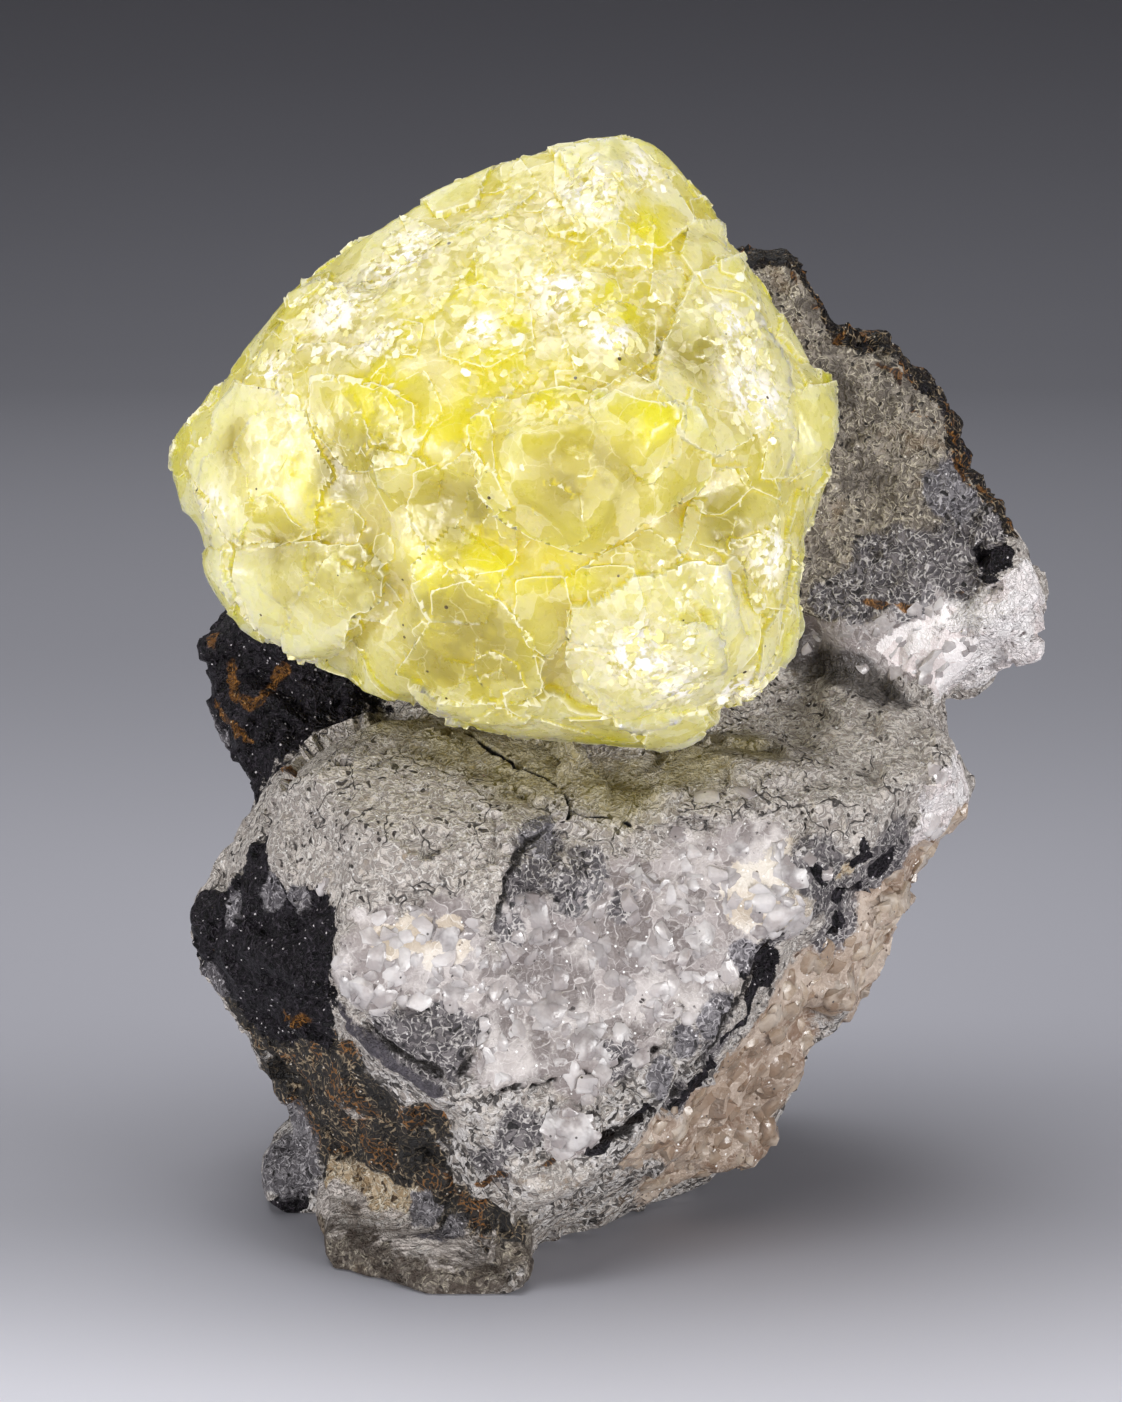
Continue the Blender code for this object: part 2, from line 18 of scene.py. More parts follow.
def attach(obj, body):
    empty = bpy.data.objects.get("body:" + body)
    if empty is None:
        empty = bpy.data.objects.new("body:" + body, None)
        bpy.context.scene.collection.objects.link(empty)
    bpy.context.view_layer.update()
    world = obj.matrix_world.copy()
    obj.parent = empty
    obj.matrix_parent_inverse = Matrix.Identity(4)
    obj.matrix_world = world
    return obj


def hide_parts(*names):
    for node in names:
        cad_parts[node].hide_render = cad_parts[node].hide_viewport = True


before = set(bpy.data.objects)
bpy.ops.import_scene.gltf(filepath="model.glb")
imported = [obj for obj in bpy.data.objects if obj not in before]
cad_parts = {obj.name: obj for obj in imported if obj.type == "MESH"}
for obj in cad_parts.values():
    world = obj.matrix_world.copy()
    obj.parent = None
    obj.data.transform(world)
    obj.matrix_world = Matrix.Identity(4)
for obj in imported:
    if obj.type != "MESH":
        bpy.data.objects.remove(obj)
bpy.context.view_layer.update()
MM = 0.001
noise.seed_set(1)  # without it, the noise vectors differ from run to run


# %% [markdown]
# ## Working meshes
#
# A solid's mesh is a few thousand loose triangles, too coarse for a fine skin. A voxel remesh covers it
# with even squares, a smoothing pass takes off the triangles' corners, and one level of subdivision halves
# the squares. Every vertex can then be moved a little along its normal, which is how a sculptor would work,
# and the form underneath stays true to size.

# %% Make a fine skin from a solid
def baked(mesh, *modifiers):
    """The mesh after these modifiers, each given as (kind, settings)."""
    obj = bpy.data.objects.new("working", mesh)
    bpy.context.scene.collection.objects.link(obj)
    for kind, settings in modifiers:
        modifier = obj.modifiers.new(kind, kind)
        for name, value in settings.items():
            setattr(modifier, name, value)
    bpy.context.view_layer.update()
    graph = bpy.context.evaluated_depsgraph_get()
    made = bpy.data.meshes.new_from_object(obj.evaluated_get(graph))
    bpy.data.objects.remove(obj)
    return made


WELD = 0.01  # corners nearer to each other than this are one


def fine_skin(node, cell, smoothing):
    """A skin of squares half a cell wide over the solid's form."""
    bm = bmesh.new()
    bm.from_mesh(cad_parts[node].data)
    bmesh.ops.remove_doubles(bm, verts=bm.verts, dist=WELD * MM)
    copied = bpy.data.meshes.new(node)
    bm.to_mesh(copied)
    bm.free()
    return baked(
        copied,
        ("REMESH", {"mode": "VOXEL", "voxel_size": cell * MM}),
        ("SMOOTH", {"factor": 0.5, "iterations": smoothing}),
        ("SUBSURF", {"levels": 1, "render_levels": 1}),
    )


def read(mesh, name):
    """The vertices' places in millimetres, or their normals, as rows."""
    values = np.empty(len(mesh.vertices) * 3, np.float32)
    mesh.vertices.foreach_get(name, values)
    values = values.reshape(-1, 3).astype(float)
    return values / MM if name == "co" else values


def place(mesh, places):
    """Puts the vertices at these places, given in millimetres."""
    mesh.vertices.foreach_set("co", (places * MM).astype(np.float32).ravel())
    mesh.update()


def keep(mesh, name, values):
    """Stores one number per vertex, which a material can read by its name."""
    mesh.attributes.new(name, "FLOAT", "POINT").data.foreach_set("value", values.astype(np.float32))


def grain(places, size, seed):
    """A noise value at each place, with features about this many millimetres wide."""
    offset = Vector((seed, 1.7 * seed, -seed))
    return np.array([noise.noise(Vector(p) / size + offset) for p in places])


# %% [markdown]
# ## Fields
#
# A field says how deep a vertex lies inside a patch: 1 in its middle, 0 at its border and less outside.
# Patches are painted as overlapping balls and as thick lines, and a slow noise bends their borders, because
# no mineral grows in circles. The same fields steer the relief here and the colours later, so both always
# agree.

# %% Measure how far each vertex lies inside a patch
OUTSIDE = -3.0  # the field far away from every patch


def in_spots(places, spots):
    """The field of balls, each (x, y, z, radius)."""
    field = np.full(len(places), OUTSIDE)
    for x, y, z, radius in spots:
        field = np.maximum(field, 1 - np.linalg.norm(places - (x, y, z), axis=1) / radius)
    return field


def in_lines(places, lines):
    """The field of thick lines, each (half width, points)."""
    field = np.full(len(places), OUTSIDE)
    for half_width, points in lines:
        for start, end in zip(points[:-1], points[1:]):
            start = np.array(start, float)
            along = np.array(end, float) - start
            share = np.clip((places - start) @ along / (along @ along), 0, 1)
            distance = np.linalg.norm(places - start - share[:, None] * along, axis=1)
            field = np.maximum(field, 1 - distance / half_width)
    return field


def bent(places, size, amount, seed):
    """The places, shifted by a slow noise so that borders drawn through them wander."""
    shift = np.array([noise.noise_vector(Vector(p) / size + Vector((seed, 0, 0))) for p in places])
    return places + amount * shift


def smooth(field, low=0.0, high=1.0):
    """0 below low, 1 above high and an even curve between."""
    share = np.clip((field - low) / (high - low), 0, 1)
    return share * share * (3 - 2 * share)


# %% [markdown]
# Broken rock and crusts of tiny plates are made of flat facets. Space is divided into Voronoi cells, each
# cell has a tilted plane of its own, and the lowest of the three nearest planes gives the height. Where two
# planes cross there is a ridge, so the facets join without a gap.

# %% Measure the height of a field of facets
TILT_STRIDE = 9.1  # spreads neighbouring cells out, so that each one gets another random tilt


def facets(places, size, seed):
    """Heights of flat facets about this many millimetres wide, which meet in ridges."""
    offset = Vector((seed, seed, seed))
    level = Vector((0.5, 0.5, 0.5))  # a cell's random numbers run from 0 to 1, and a tilt goes both ways
    heights = []
    for point in places:
        point = Vector(point) / size + offset
        _, centres = noise.voronoi(point)
        tilts = [noise.cell_vector(centre * TILT_STRIDE) - level for centre in centres[:3]]
        heights.append(size * min((point - centre).dot(tilt) for centre, tilt in zip(centres, tilts)))
    return np.array(heights)


print("2 mm facets are", round(facets([(0, 0, 0)], 2.0, 1.0)[0], 2), "mm high at the origin")

# %% [markdown]
# ## The brucite's plates
#
# Brucite grows in flat plates, like mica. Here hundreds of them overlap like roof tiles, and the eye reads
# their thin raised rims. A plate is laid by lifting every vertex inside a polygon to one slightly domed
# sheet. Where plates overlap the outermost wins, which gives clean steps without any Boolean. The skin's
# squares would turn a rim into a staircase, so the vertices next to a rim are slid sideways onto it first.
# The large plates are outlined as they look from the front, and smaller ones are strewn under and
# over them.

# %% The large plates, undermost first: name, the most that it stands up, its paleness, corners (x, z)
LARGE_PLATES = [
    ("left rim", 0.4, 1.0, [
        (-36.9, 62.3), (-35.5, 65.1), (-32.8, 62.6), (-31.2, 59.6), (-30.3, 55.2), (-29.2, 51.6),
        (-29.7, 53.4), (-33.1, 57.4), (-35.4, 59.5)]),
    ("left face", 0.3, 0.95, [
        (-35.6, 65.5), (-33.1, 63.5), (-30.8, 60.0), (-26.7, 60.4), (-24.3, 61.5), (-23.7, 64.7),
        (-22.6, 66.3), (-24.6, 69.8), (-25.4, 72.5), (-31.5, 72.5), (-35.1, 69.2)]),
    ("lower left lobe", 0.7, 0.85, [
        (-30.8, 59.7), (-24.1, 60.9), (-20.3, 60.8), (-18.4, 59.0), (-18.9, 57.1), (-21.0, 55.6),
        (-22.7, 51.1), (-24.8, 50.5), (-29.5, 53.0), (-30.6, 55.5)]),
    ("lower middle", 0.6, 0.0, [
        (-14.9, 58.1), (-14.7, 56.0), (-16.2, 53.1), (-18.0, 50.2), (-14.3, 49.3), (-9.5, 48.8),
        (-6.3, 49.4), (-6.7, 54.2), (-9.4, 57.5), (-11.7, 59.1)]),
    ("lower lip", 1.0, 0.6, [
        (-17.0, 50.0), (-15.0, 47.0), (-8.0, 44.9), (-2.6, 44.2), (2.0, 43.5), (5.5, 43.8), (8.4, 46.2),
        (7.0, 47.8), (2.0, 47.4), (-3.0, 47.8), (-9.0, 49.2)]),
    ("base scale left", 0.6, 0.5, [
        (-11.9, 47.3), (-8.0, 44.7), (-2.6, 45.6), (-5.9, 47.2), (-9.5, 48.8)]),
    ("base scale middle", 0.6, 0.45, [
        (-2.6, 46.1), (-1.4, 44.8), (1.8, 44.6), (0.1, 47.3), (-3.9, 47.4)]),
    ("base scale right", 0.6, 0.55, [
        (2.0, 44.0), (4.6, 44.2), (6.9, 46.0), (6.6, 47.5), (2.5, 47.4)]),
    ("small wedge", 0.4, 0.2, [
        (-8.2, 59.2), (-4.1, 59.4), (-3.6, 57.3), (-4.2, 54.2), (-5.3, 52.0), (-7.2, 54.0), (-8.2, 56.3)]),
    ("right step low", 0.5, 0.8, [
        (11.3, 53.2), (13.2, 56.2), (12.7, 52.3), (10.7, 48.6), (9.6, 47.3)]),
    ("right step middle", 0.5, 0.5, [
        (14.8, 58.0), (15.6, 57.0), (14.8, 53.8), (13.0, 50.2), (11.8, 49.9), (13.2, 54.3)]),
    ("right step high", 0.5, 0.3, [
        (14.9, 64.2), (16.2, 62.6), (15.8, 59.0), (15.0, 58.1), (13.7, 60.5)]),
    ("lower right lobe", 0.8, 0.85, [
        (-3.6, 57.4), (-4.2, 54.0), (-3.7, 51.2), (-1.8, 48.2), (0.8, 46.7), (4.0, 46.5), (7.2, 48.5),
        (9.3, 50.9), (11.1, 53.7), (11.7, 57.3), (8.2, 60.4), (4.8, 60.6), (1.0, 59.7)]),
    ("lobe's bright facet", 0.5, 0.3, [
        (8.3, 61.5), (11.5, 62.2), (13.8, 59.0), (13.4, 57.8), (12.0, 54.7), (10.1, 56.4), (8.5, 59.5)]),
    ("far right", 0.8, 0.6, [
        (13.9, 77.6), (15.4, 76.8), (16.8, 74.4), (17.8, 72.0), (17.8, 69.4), (16.4, 67.1), (14.1, 65.1),
        (11.2, 65.8), (12.1, 69.7)]),
    ("sunk plate", 0.35, 0.0, [
        (-16.8, 64.0), (-15.3, 62.1), (-13.6, 60.0), (-12.3, 59.4), (-8.8, 59.8), (-8.1, 60.7),
        (-8.0, 63.8), (-10.9, 67.1), (-14.0, 68.1), (-16.0, 67.6)]),
    ("left middle", 0.7, 0.15, [
        (-24.4, 73.9), (-24.9, 71.9), (-24.1, 69.6), (-22.7, 67.9), (-21.3, 66.8), (-19.1, 67.3),
        (-16.3, 68.1), (-15.5, 70.1), (-16.0, 72.4), (-18.6, 73.8), (-21.2, 74.2)]),
    ("left middle, upper", 0.3, 0.3, [
        (-24.2, 73.6), (-24.4, 71.9), (-23.5, 69.7), (-22.3, 68.9), (-20.1, 68.9), (-17.4, 69.6),
        (-16.9, 71.4), (-18.1, 73.0), (-20.3, 73.8)]),
    ("centre", 0.9, 0.15, [
        (-11.8, 71.3), (-11.7, 68.9), (-10.5, 66.0), (-9.0, 64.2), (-5.9, 62.5), (-2.1, 61.2), (0.8, 63.1),
        (6.0, 65.6), (7.5, 68.3), (5.5, 72.2), (-4.7, 73.9), (-9.4, 73.1)]),
    ("centre blade", 0.35, 0.35, [
        (-12.0, 70.6), (-11.4, 71.7), (-10.1, 71.7), (-9.6, 70.8), (-8.0, 65.5), (-9.4, 64.6),
        (-11.1, 67.8)]),
    ("right notch", 0.5, 0.2, [
        (5.6, 65.6), (7.3, 67.4), (9.6, 67.5), (10.6, 65.4), (8.1, 63.7), (6.5, 63.8)]),
    ("right notch blade", 0.4, 0.7, [
        (5.8, 65.0), (6.7, 64.7), (6.2, 62.6), (5.1, 61.0), (4.4, 60.8), (5.1, 63.4)]),
    ("upright", 0.9, 0.85, [
        (2.9, 75.6), (2.8, 73.3), (3.4, 71.3), (7.2, 68.2), (10.4, 69.3), (13.2, 70.7), (13.5, 74.4),
        (13.1, 78.7), (9.9, 82.2), (5.7, 81.4)]),
    ("upright's foot", 0.3, 0.55, [
        (3.4, 71.3), (7.2, 68.2), (10.4, 69.3), (9.2, 71.2), (6.3, 72.5), (4.0, 73.1)]),
    ("right shoulder", 0.5, 0.6, [
        (5.9, 85.2), (8.5, 84.8), (10.9, 82.2), (13.2, 78.9), (9.7, 79.7), (6.5, 80.6), (4.9, 83.2)]),
    ("upper middle", 0.35, 0.2, [
        (-4.7, 78.1), (-0.8, 80.3), (2.8, 79.4), (2.8, 75.8), (0.0, 74.2), (-3.5, 75.0)]),
    ("upper left", 0.35, 0.3, [
        (-15.0, 80.1), (-11.0, 81.3), (-7.1, 80.2), (-6.6, 77.1), (-10.2, 75.2), (-14.1, 76.2)]),
    ("left shoulder", 0.4, 0.75, [
        (-23.7, 82.0), (-21.2, 83.8), (-18.2, 84.8), (-17.7, 83.6), (-21.0, 81.9), (-24.1, 80.1),
        (-26.4, 78.7), (-25.8, 80.3)]),
    ("left brow", 0.4, 0.7, [
        (-17.9, 85.7), (-14.6, 87.7), (-11.3, 89.3), (-8.0, 90.2), (-6.3, 88.4), (-9.5, 86.3),
        (-13.5, 84.7), (-16.9, 84.1)]),
    ("crown", 0.8, 0.95, [
        (-4.9, 90.2), (0.1, 91.2), (1.4, 91.1), (3.0, 90.2), (5.3, 86.9), (6.1, 85.2), (3.6, 83.8),
        (-0.3, 84.0), (-3.6, 85.8), (-4.9, 87.6)]),
    ("crown's top", 0.5, 0.7, [
        (-5.9, 91.0), (-5.5, 91.6), (-2.1, 92.0), (1.8, 92.5), (3.6, 92.1), (5.0, 90.7), (5.2, 89.0),
        (3.1, 89.9), (1.0, 91.2)]),
]
print(len(LARGE_PLATES), "large plates")

# %% [markdown]
# A plate is a polygon that lies flat against the skin. Two helpers do its geometry: one finds the
# directions in its plane, and one tells how far inside its outline each vertex is and which way its nearest
# edge lies. A kd-tree finds the vertices near a point without looking at all the others.

# %% Find a plate's plane, and the distance to its edge
def plate_axes(facing):
    """The two directions in a plate's plane."""
    facing = Vector(facing).normalized()
    across = facing.orthogonal().normalized()
    return np.array(across), np.array(facing.cross(across))


def tree_of(places):
    """A search tree that finds the vertices near a point."""
    tree = kdtree.KDTree(len(places))
    for index, point in enumerate(places):
        tree.insert(point, index)
    tree.balance()
    return tree


NO_LENGTH = 0.000001  # keeps a vertex right on an edge from dividing by zero


def outline_distance(points, corners):
    """How far inside an outline each flat point lies, and the way outwards from it."""
    nearest = np.full(len(points), np.inf)
    outward = np.zeros((len(points), 2))
    crossings = np.zeros(len(points), bool)
    for start, end in zip(corners, np.roll(corners, -1, axis=0)):
        along = end - start
        share = np.clip((points - start) @ along / (along @ along), 0, 1)
        away = start + share[:, None] * along - points
        distance = np.hypot(*away.T)
        closer = distance < nearest
        nearest[closer] = distance[closer]
        outward[closer] = away[closer] / np.maximum(distance[closer], NO_LENGTH)[:, None]
        if end[1] != start[1]:
            crossed_x = start[0] + (points[:, 1] - start[1]) / along[1] * along[0]
            crossings ^= ((start[1] > points[:, 1]) != (end[1] > points[:, 1])) & (points[:, 0] < crossed_x)
    side = np.where(crossings, 1.0, -1.0)
    return nearest * side, outward * side[:, None]


square = np.array([(-2.0, -2.0), (2.0, -2.0), (2.0, 2.0), (-2.0, 2.0)])
print("the middle of a 4 mm square is", outline_distance(np.zeros((1, 2)), square)[0], "mm inside its edge")

# %% [markdown]
# The skin remembers, for each vertex, how high the plates on it reach, whether it is on a rim or at a rim's
# foot, and how pale its plate is. To lay a plate, the vertices near its edge are slid onto it, and those
# inside are lifted to the plate's sheet. A rim's foot is slid to just outside the edge, so the step stands
# upright.

# %% Lay one plate, or strew many
LEAST_STEP = 0.20  # every large plate stands up at least this much, so that its whole rim shows
LEAST_RISE = 0.03  # a plate that stands up less isn't laid
HIGHEST_PLATE = 1.5
LEAST_FACING = 0.36  # a plate stops where the skin turns away from it: the cosine between the two
DOMING = 0.35  # 0 is a flat plate and 1 follows the surface under it
RAGGED_RIM = 0.13  # how far a plate's rim wanders in and out
RIM_BAND = 0.7  # vertices nearer to an edge than this share of the spacing are slid onto it
MOST_SLIDE = 0.9  # and in all no vertex slides further than this share
FOOT_GAP = 0.02  # a rim's foot lies this far outside the edge
IN_FRONT = -60  # the outlines are cast onto the skin from this far in front
RIM_DEPTH = -10  # a corner that misses the skin goes to the point of it nearest to here
SIDES = (5, 6, 6, 7)  # a crystal of brucite has six sides, and a broken one has fewer or more
REACHES = (0.75, 1.1)  # how far a strewn plate's corners lie from its middle, as shares of its radius
PALEST_STREWN = 0.65


class Skin:
    """The vertices that plates are laid on, in millimetres, with what each plate leaves there."""

    def __init__(self, mesh, spacing, sink):
        self.places = read(mesh, "co")
        self.normals = read(mesh, "normal")
        self.spacing = spacing
        self.heights = np.full(len(self.places), -sink)
        self.slid = np.zeros(len(self.places))
        self.rims = np.zeros(len(self.places))
        self.feet = np.zeros(len(self.places))
        self.shades = np.full(len(self.places), 0.5)
        self.tree = tree_of(self.places)
        self.wander = grain(self.places, 1.9, seed=3) + 0.4 * grain(self.places, 0.8, seed=4)

    def slide(self, vertices, directions, distances):
        """Moves vertices sideways onto a rim, unless they have gone far enough already."""
        free = self.slid[vertices] + np.abs(distances) < MOST_SLIDE * self.spacing
        self.places[vertices[free]] += directions[free] * distances[free, None]
        self.slid[vertices[free]] += np.abs(distances[free])

    def lay(self, middle, facing, corners, rise, least, step, shade):
        """Lays one plate with these corners, in millimetres across and up from its middle vertex."""
        origin = self.places[middle] + self.normals[middle] * self.heights[middle]
        reach = np.hypot(*corners.T).max() + 1
        near = np.array([index for _, index, _ in self.tree.find_range(self.places[middle], reach)])
        across, upward = plate_axes(facing)
        facing = np.array(Vector(facing).normalized())
        offset = self.places[near] - origin
        inside, outward = outline_distance(np.stack([offset @ across, offset @ upward], axis=1), corners)
        inside += self.wander[near] * RAGGED_RIM
        outward = outward[:, :1] * across + outward[:, 1:] * upward
        lean = np.maximum(self.normals[near] @ facing, LEAST_FACING)
        lift = (rise - (1 - DOMING) * (offset @ facing)) / lean
        under = self.heights[near]
        lift = np.clip(lift, under + least, under + step) if least else np.minimum(lift, under + step)
        above = (lean > LEAST_FACING) & (lift > under + LEAST_RISE) & (lift < HIGHEST_PLATE)
        covered = above & (inside > 0)
        rim = above & (np.abs(inside) < RIM_BAND * self.spacing)
        self.slide(near[rim & covered], outward[rim & covered], inside[rim & covered])
        foot = rim & ~covered
        self.slide(near[foot], outward[foot], inside[foot] - FOOT_GAP)
        self.heights[near[covered]] = lift[covered]
        self.shades[near[covered]] = shade
        self.rims[near[covered]] = (inside[covered] < RIM_BAND * self.spacing) * 1.0
        self.feet[near[covered]] = 0.0
        self.feet[near[foot]] = 1.0

    def lay_outlined(self, tree, outline, step, shade):
        """Lays a plate whose corners are seen from the front, where they fall on the skin."""
        corners = []
        for x, z in outline:
            hit = tree.ray_cast(Vector((x, IN_FRONT, z)), Vector((0, 1, 0)))[0]
            corners.append(hit if hit else tree.find_nearest(Vector((x, RIM_DEPTH, z)))[0])
        indices = [self.tree.find(corner)[1] for corner in corners]
        _, middle, _ = self.tree.find(sum(corners, Vector()) / len(corners))
        facing = Vector(self.normals[indices].mean(axis=0) + self.normals[middle])
        across, upward = plate_axes(facing)
        offset = np.array(corners) - self.places[middle]
        flat = np.stack([offset @ across, offset @ upward], axis=1)
        self.lay(middle, facing, flat, 0.5 * step, LEAST_STEP, step, shade)

    def strew(self, source, number, radii, rises, lean, step):
        """Strews small plates over the skin, each leaning a little off what is under it."""
        for _ in range(number):
            middle = source.randrange(len(self.places))
            facing = Vector(self.normals[middle]) + Vector([source.gauss(0, lean) for _ in range(3)])
            radius = source.uniform(*radii)
            sides = source.choice(SIDES)
            turn = source.uniform(0, math.tau)
            reaches = [radius * source.uniform(*REACHES) for _ in range(sides)]
            angles = [turn + math.tau * side / sides for side in range(sides)]
            corners = np.array([(r * math.cos(a), r * math.sin(a)) for r, a in zip(reaches, angles)])
            rise = source.uniform(*rises)
            self.lay(middle, facing, corners, rise, 0, step, PALEST_STREWN * source.random())


# %% [markdown]
# The upper faces are a crust of tiny bumps, and the clear faces are smooth. Both are patches. First plates
# are strewn, then the large ones are laid, then smaller ones over them, and at last the facets of the crust
# go on top. The random source has a fixed seed, so the same plates come out every time.

# %% Lay the brucite's plates
CRUST_SPOTS = [  # x, y, z, radius
    (-8.0, -12.0, 84.0, 12.0), (2.0, -16.0, 79.0, 9.0), (-18.0, -12.0, 79.0, 9.0), (-6.0, -20.0, 75.0, 8.0),
    (1.0, -21.0, 51.0, 9.0), (9.0, -14.0, 77.0, 7.0), (5.0, -23.0, 57.0, 6.0),
]
SMOOTH_SPOTS = [
    (-28.0, -13.0, 65.0, 9.0), (-26.0, -13.0, 56.0, 8.0), (-14.0, -20.0, 53.0, 7.0),
    (-19.7, -18.9, 70.3, 5.0), (15.0, -8.0, 68.0, 7.0), (-6.0, -24.0, 64.0, 5.0), (-34.0, -7.0, 60.0, 6.0),
]
BRUCITE_CELL = 0.655
BRUCITE_SMOOTHING = 24
BRUCITE_SINK = 0.25  # the plates stand on a form this much smaller
# The strewn sizes: number, radii, rises, how far the plates lean, and the most that they stand up.
UNDER_PLATES = (130, (2.6, 4.6), (0.0, 0.15), 0.05, 0.40)
OVER_PLATES = (170, (1.2, 2.8), (-0.08, 0.08), 0.05, 0.17)
CRUST_HEIGHT = 0.30
CRUST_WIDTH = 1.7
CRUST_ELSEWHERE = 0.12  # this share of the crust's height is left on smooth faces
FINE_HEIGHT = 0.03
FINE_WIDTH = 1.2

brucite_mesh = fine_skin("brucite", BRUCITE_CELL, BRUCITE_SMOOTHING)
skin = Skin(brucite_mesh, BRUCITE_CELL / 2, BRUCITE_SINK)
source = random.Random(7)
polygons = [tuple(face.vertices) for face in brucite_mesh.polygons]
surface = bvhtree.BVHTree.FromPolygons([Vector(point) for point in skin.places], polygons)
skin.strew(source, *UNDER_PLATES)
for _, step, paleness, outline in LARGE_PLATES:
    skin.lay_outlined(surface, outline, step, paleness)
skin.strew(source, *OVER_PLATES)
crusty = smooth(in_spots(skin.places, CRUST_SPOTS), 0, 0.45)
crusty *= 1 - smooth(in_spots(skin.places, SMOOTH_SPOTS), 0, 0.4)
roughened = CRUST_ELSEWHERE + (1 - CRUST_ELSEWHERE) * crusty
heights = skin.heights + FINE_HEIGHT * grain(skin.places, FINE_WIDTH, seed=11)
heights += CRUST_HEIGHT * facets(skin.places, CRUST_WIDTH, 5.0) * roughened
places = skin.places + skin.normals * heights[:, None]
place(brucite_mesh, places)
print("brucite:", len(brucite_mesh.polygons) * 2, "triangles")
print("the plates rise up to", round(heights.max(), 2), "mm")

# %% [markdown]
# ## Where the brucite is bright, frosted or smoky
#
# Light enters the translucent mass and leaves it in the hollows, and this glow is painted in the purest
# yellow. Bruised and finely flaked faces scatter light at once and look frosted white, and the frost
# patches also hold painted highlights. Thick clear places look a little grey. Each is a field of its own,
# stored on the mesh for the material.

# %% Paint the brucite's fields
# Where the painted glow goes: yellow that stands in for light leaving the translucent mass.
PAINTED_GLOW_SPOTS = [  # x, y, z, radius
    (-13.3, -22.5, 70.8, 4.5), (-11.7, -21.9, 72.8, 4.0), (-18.9, -18.9, 73.2, 5.0),
    (-5.5, -22.3, 73.5, 5.0), (2.3, -24.7, 71.9, 3.6), (-25.6, -15.3, 66.4, 2.6), (-9.0, -17.6, 79.6, 4.4),
    (-24.0, -17.0, 63.6, 3.4), (-4.4, -12.6, 84.0, 3.6), (-12.0, -14.0, 81.0, 4.0),
    (-9.4, -23.1, 60.7, 4.6), (-4.7, -23.3, 59.9, 4.0), (-10.2, -20.5, 75.5, 5.5), (0.0, -16.6, 80.3, 5.0),
    (-14.9, -21.7, 60.4, 3.4), (2.0, -9.0, 84.8, 5.0), (-16.4, -15.4, 78.6, 4.0), (-1.0, -13.0, 44.6, 5.0),
    (-12.0, -13.0, 46.0, 4.5),
]
# Frosted crust, which also carries painted highlights.
FROST_AND_HIGHLIGHT_SPOTS = [
    (-2.3, -9.0, 88.0, 4.6), (10.8, -14.6, 73.0, 5.2), (1.6, -22.4, 53.3, 5.4), (-23.2, -11.2, 78.9, 5.0),
    (9.7, -13.2, 77.6, 4.0), (12.0, -17.6, 59.6, 4.0), (-0.8, -19.6, 77.5, 3.4), (-4.7, -15.6, 81.0, 4.0),
    (-11.0, -17.3, 78.0, 2.2), (-17.6, -7.6, 82.6, 5.0), (9.8, -15.4, 48.6, 3.4), (-32.0, -10.0, 63.6, 2.6),
    (-19.0, -15.0, 76.6, 3.4), (4.4, -20.4, 50.6, 4.0), (-28.0, -11.6, 74.4, 3.4), (2.6, -5.0, 90.0, 3.4),
]
SMOKE_SPOTS = [
    (-3.1, -26.0, 67.6, 6.4), (-12.9, -21.5, 64.8, 5.0), (-19.7, -19.3, 69.2, 4.6),
    (-25.6, -15.4, 59.3, 6.0), (-20.6, -18.8, 58.6, 4.6), (-14.1, -22.0, 56.4, 5.0),
    (5.6, -16.5, 75.6, 4.0), (-31.0, -11.0, 67.8, 3.6), (-22.6, -16.2, 65.6, 4.2),
    (-14.5, -20.5, 52.0, 5.0), (9.0, -19.0, 62.5, 4.0), (-11.0, -21.0, 54.0, 7.0), (-8.0, -20.6, 50.0, 5.0),
    (-24.0, -17.0, 62.6, 4.6),
]
wandering_brucite = bent(places, 2.2, 1.1, 5.0)
# The glow field is painted light, and the frost field holds painted highlights as well as frosted crust.
for name, spots in (("painted_glow", PAINTED_GLOW_SPOTS), ("frost_and_highlight", FROST_AND_HIGHLIGHT_SPOTS), ("smoke", SMOKE_SPOTS)):
    keep(brucite_mesh, name, smooth(in_spots(wandering_brucite, spots), 0, 0.8))
for name, values in (("crusty", crusty), ("rim", skin.rims), ("foot", skin.feet), ("shade", skin.shades)):
    keep(brucite_mesh, name, values)
print("fields on the brucite:", [a.name for a in brucite_mesh.attributes if a.data_type == "FLOAT"])

# %% [markdown]
# ## The host rock's patches
#
# The rock is a grey, fine-grained block with veins and patches of other minerals: black serpentine, rust
# where iron has weathered, sugary white calcite, cream and beige calcite crystals on the broken flank, and
# a yellow stain where the brucite sits, which is partly painted shadow of the brucite. The patches are
# painted as fields before any relief is made, because each mineral breaks in its own way.

# %% The dark minerals, as balls and thick lines
BLACK_SPOTS = [  # x, y, z, radius
    (-29.6, -13.0, 26.6, 6.0), (-33.3, -7.2, 25.2, 6.0), (-25.4, -18.2, 28.8, 4.2),
    (-27.0, -17.6, 24.8, 4.4), (-31.7, -10.6, 29.8, 3.6), (-30.6, -9.7, 33.0, 2.6),
    (-30.0, -8.8, 20.0, 4.6), (-26.1, -15.6, 22.0, 3.6), (-30.5, 8.0, 44.0, 11.5), (16.6, -14.4, 32.9, 0.8),
    (19.5, -9.8, 30.2, 1.2), (22.0, -8.8, 33.0, 1.3), (18.7, -9.4, 27.2, 1.1), (10.6, -16.0, 26.6, 1.8),
    (12.6, -14.6, 25.2, 1.9), (32.6, 6.2, 56.0, 1.5), (31.9, 6.2, 54.0, 1.1), (-27.6, -4.6, 0.4, 2.0),
    (19.6, -12.0, 34.2, 1.2),
]
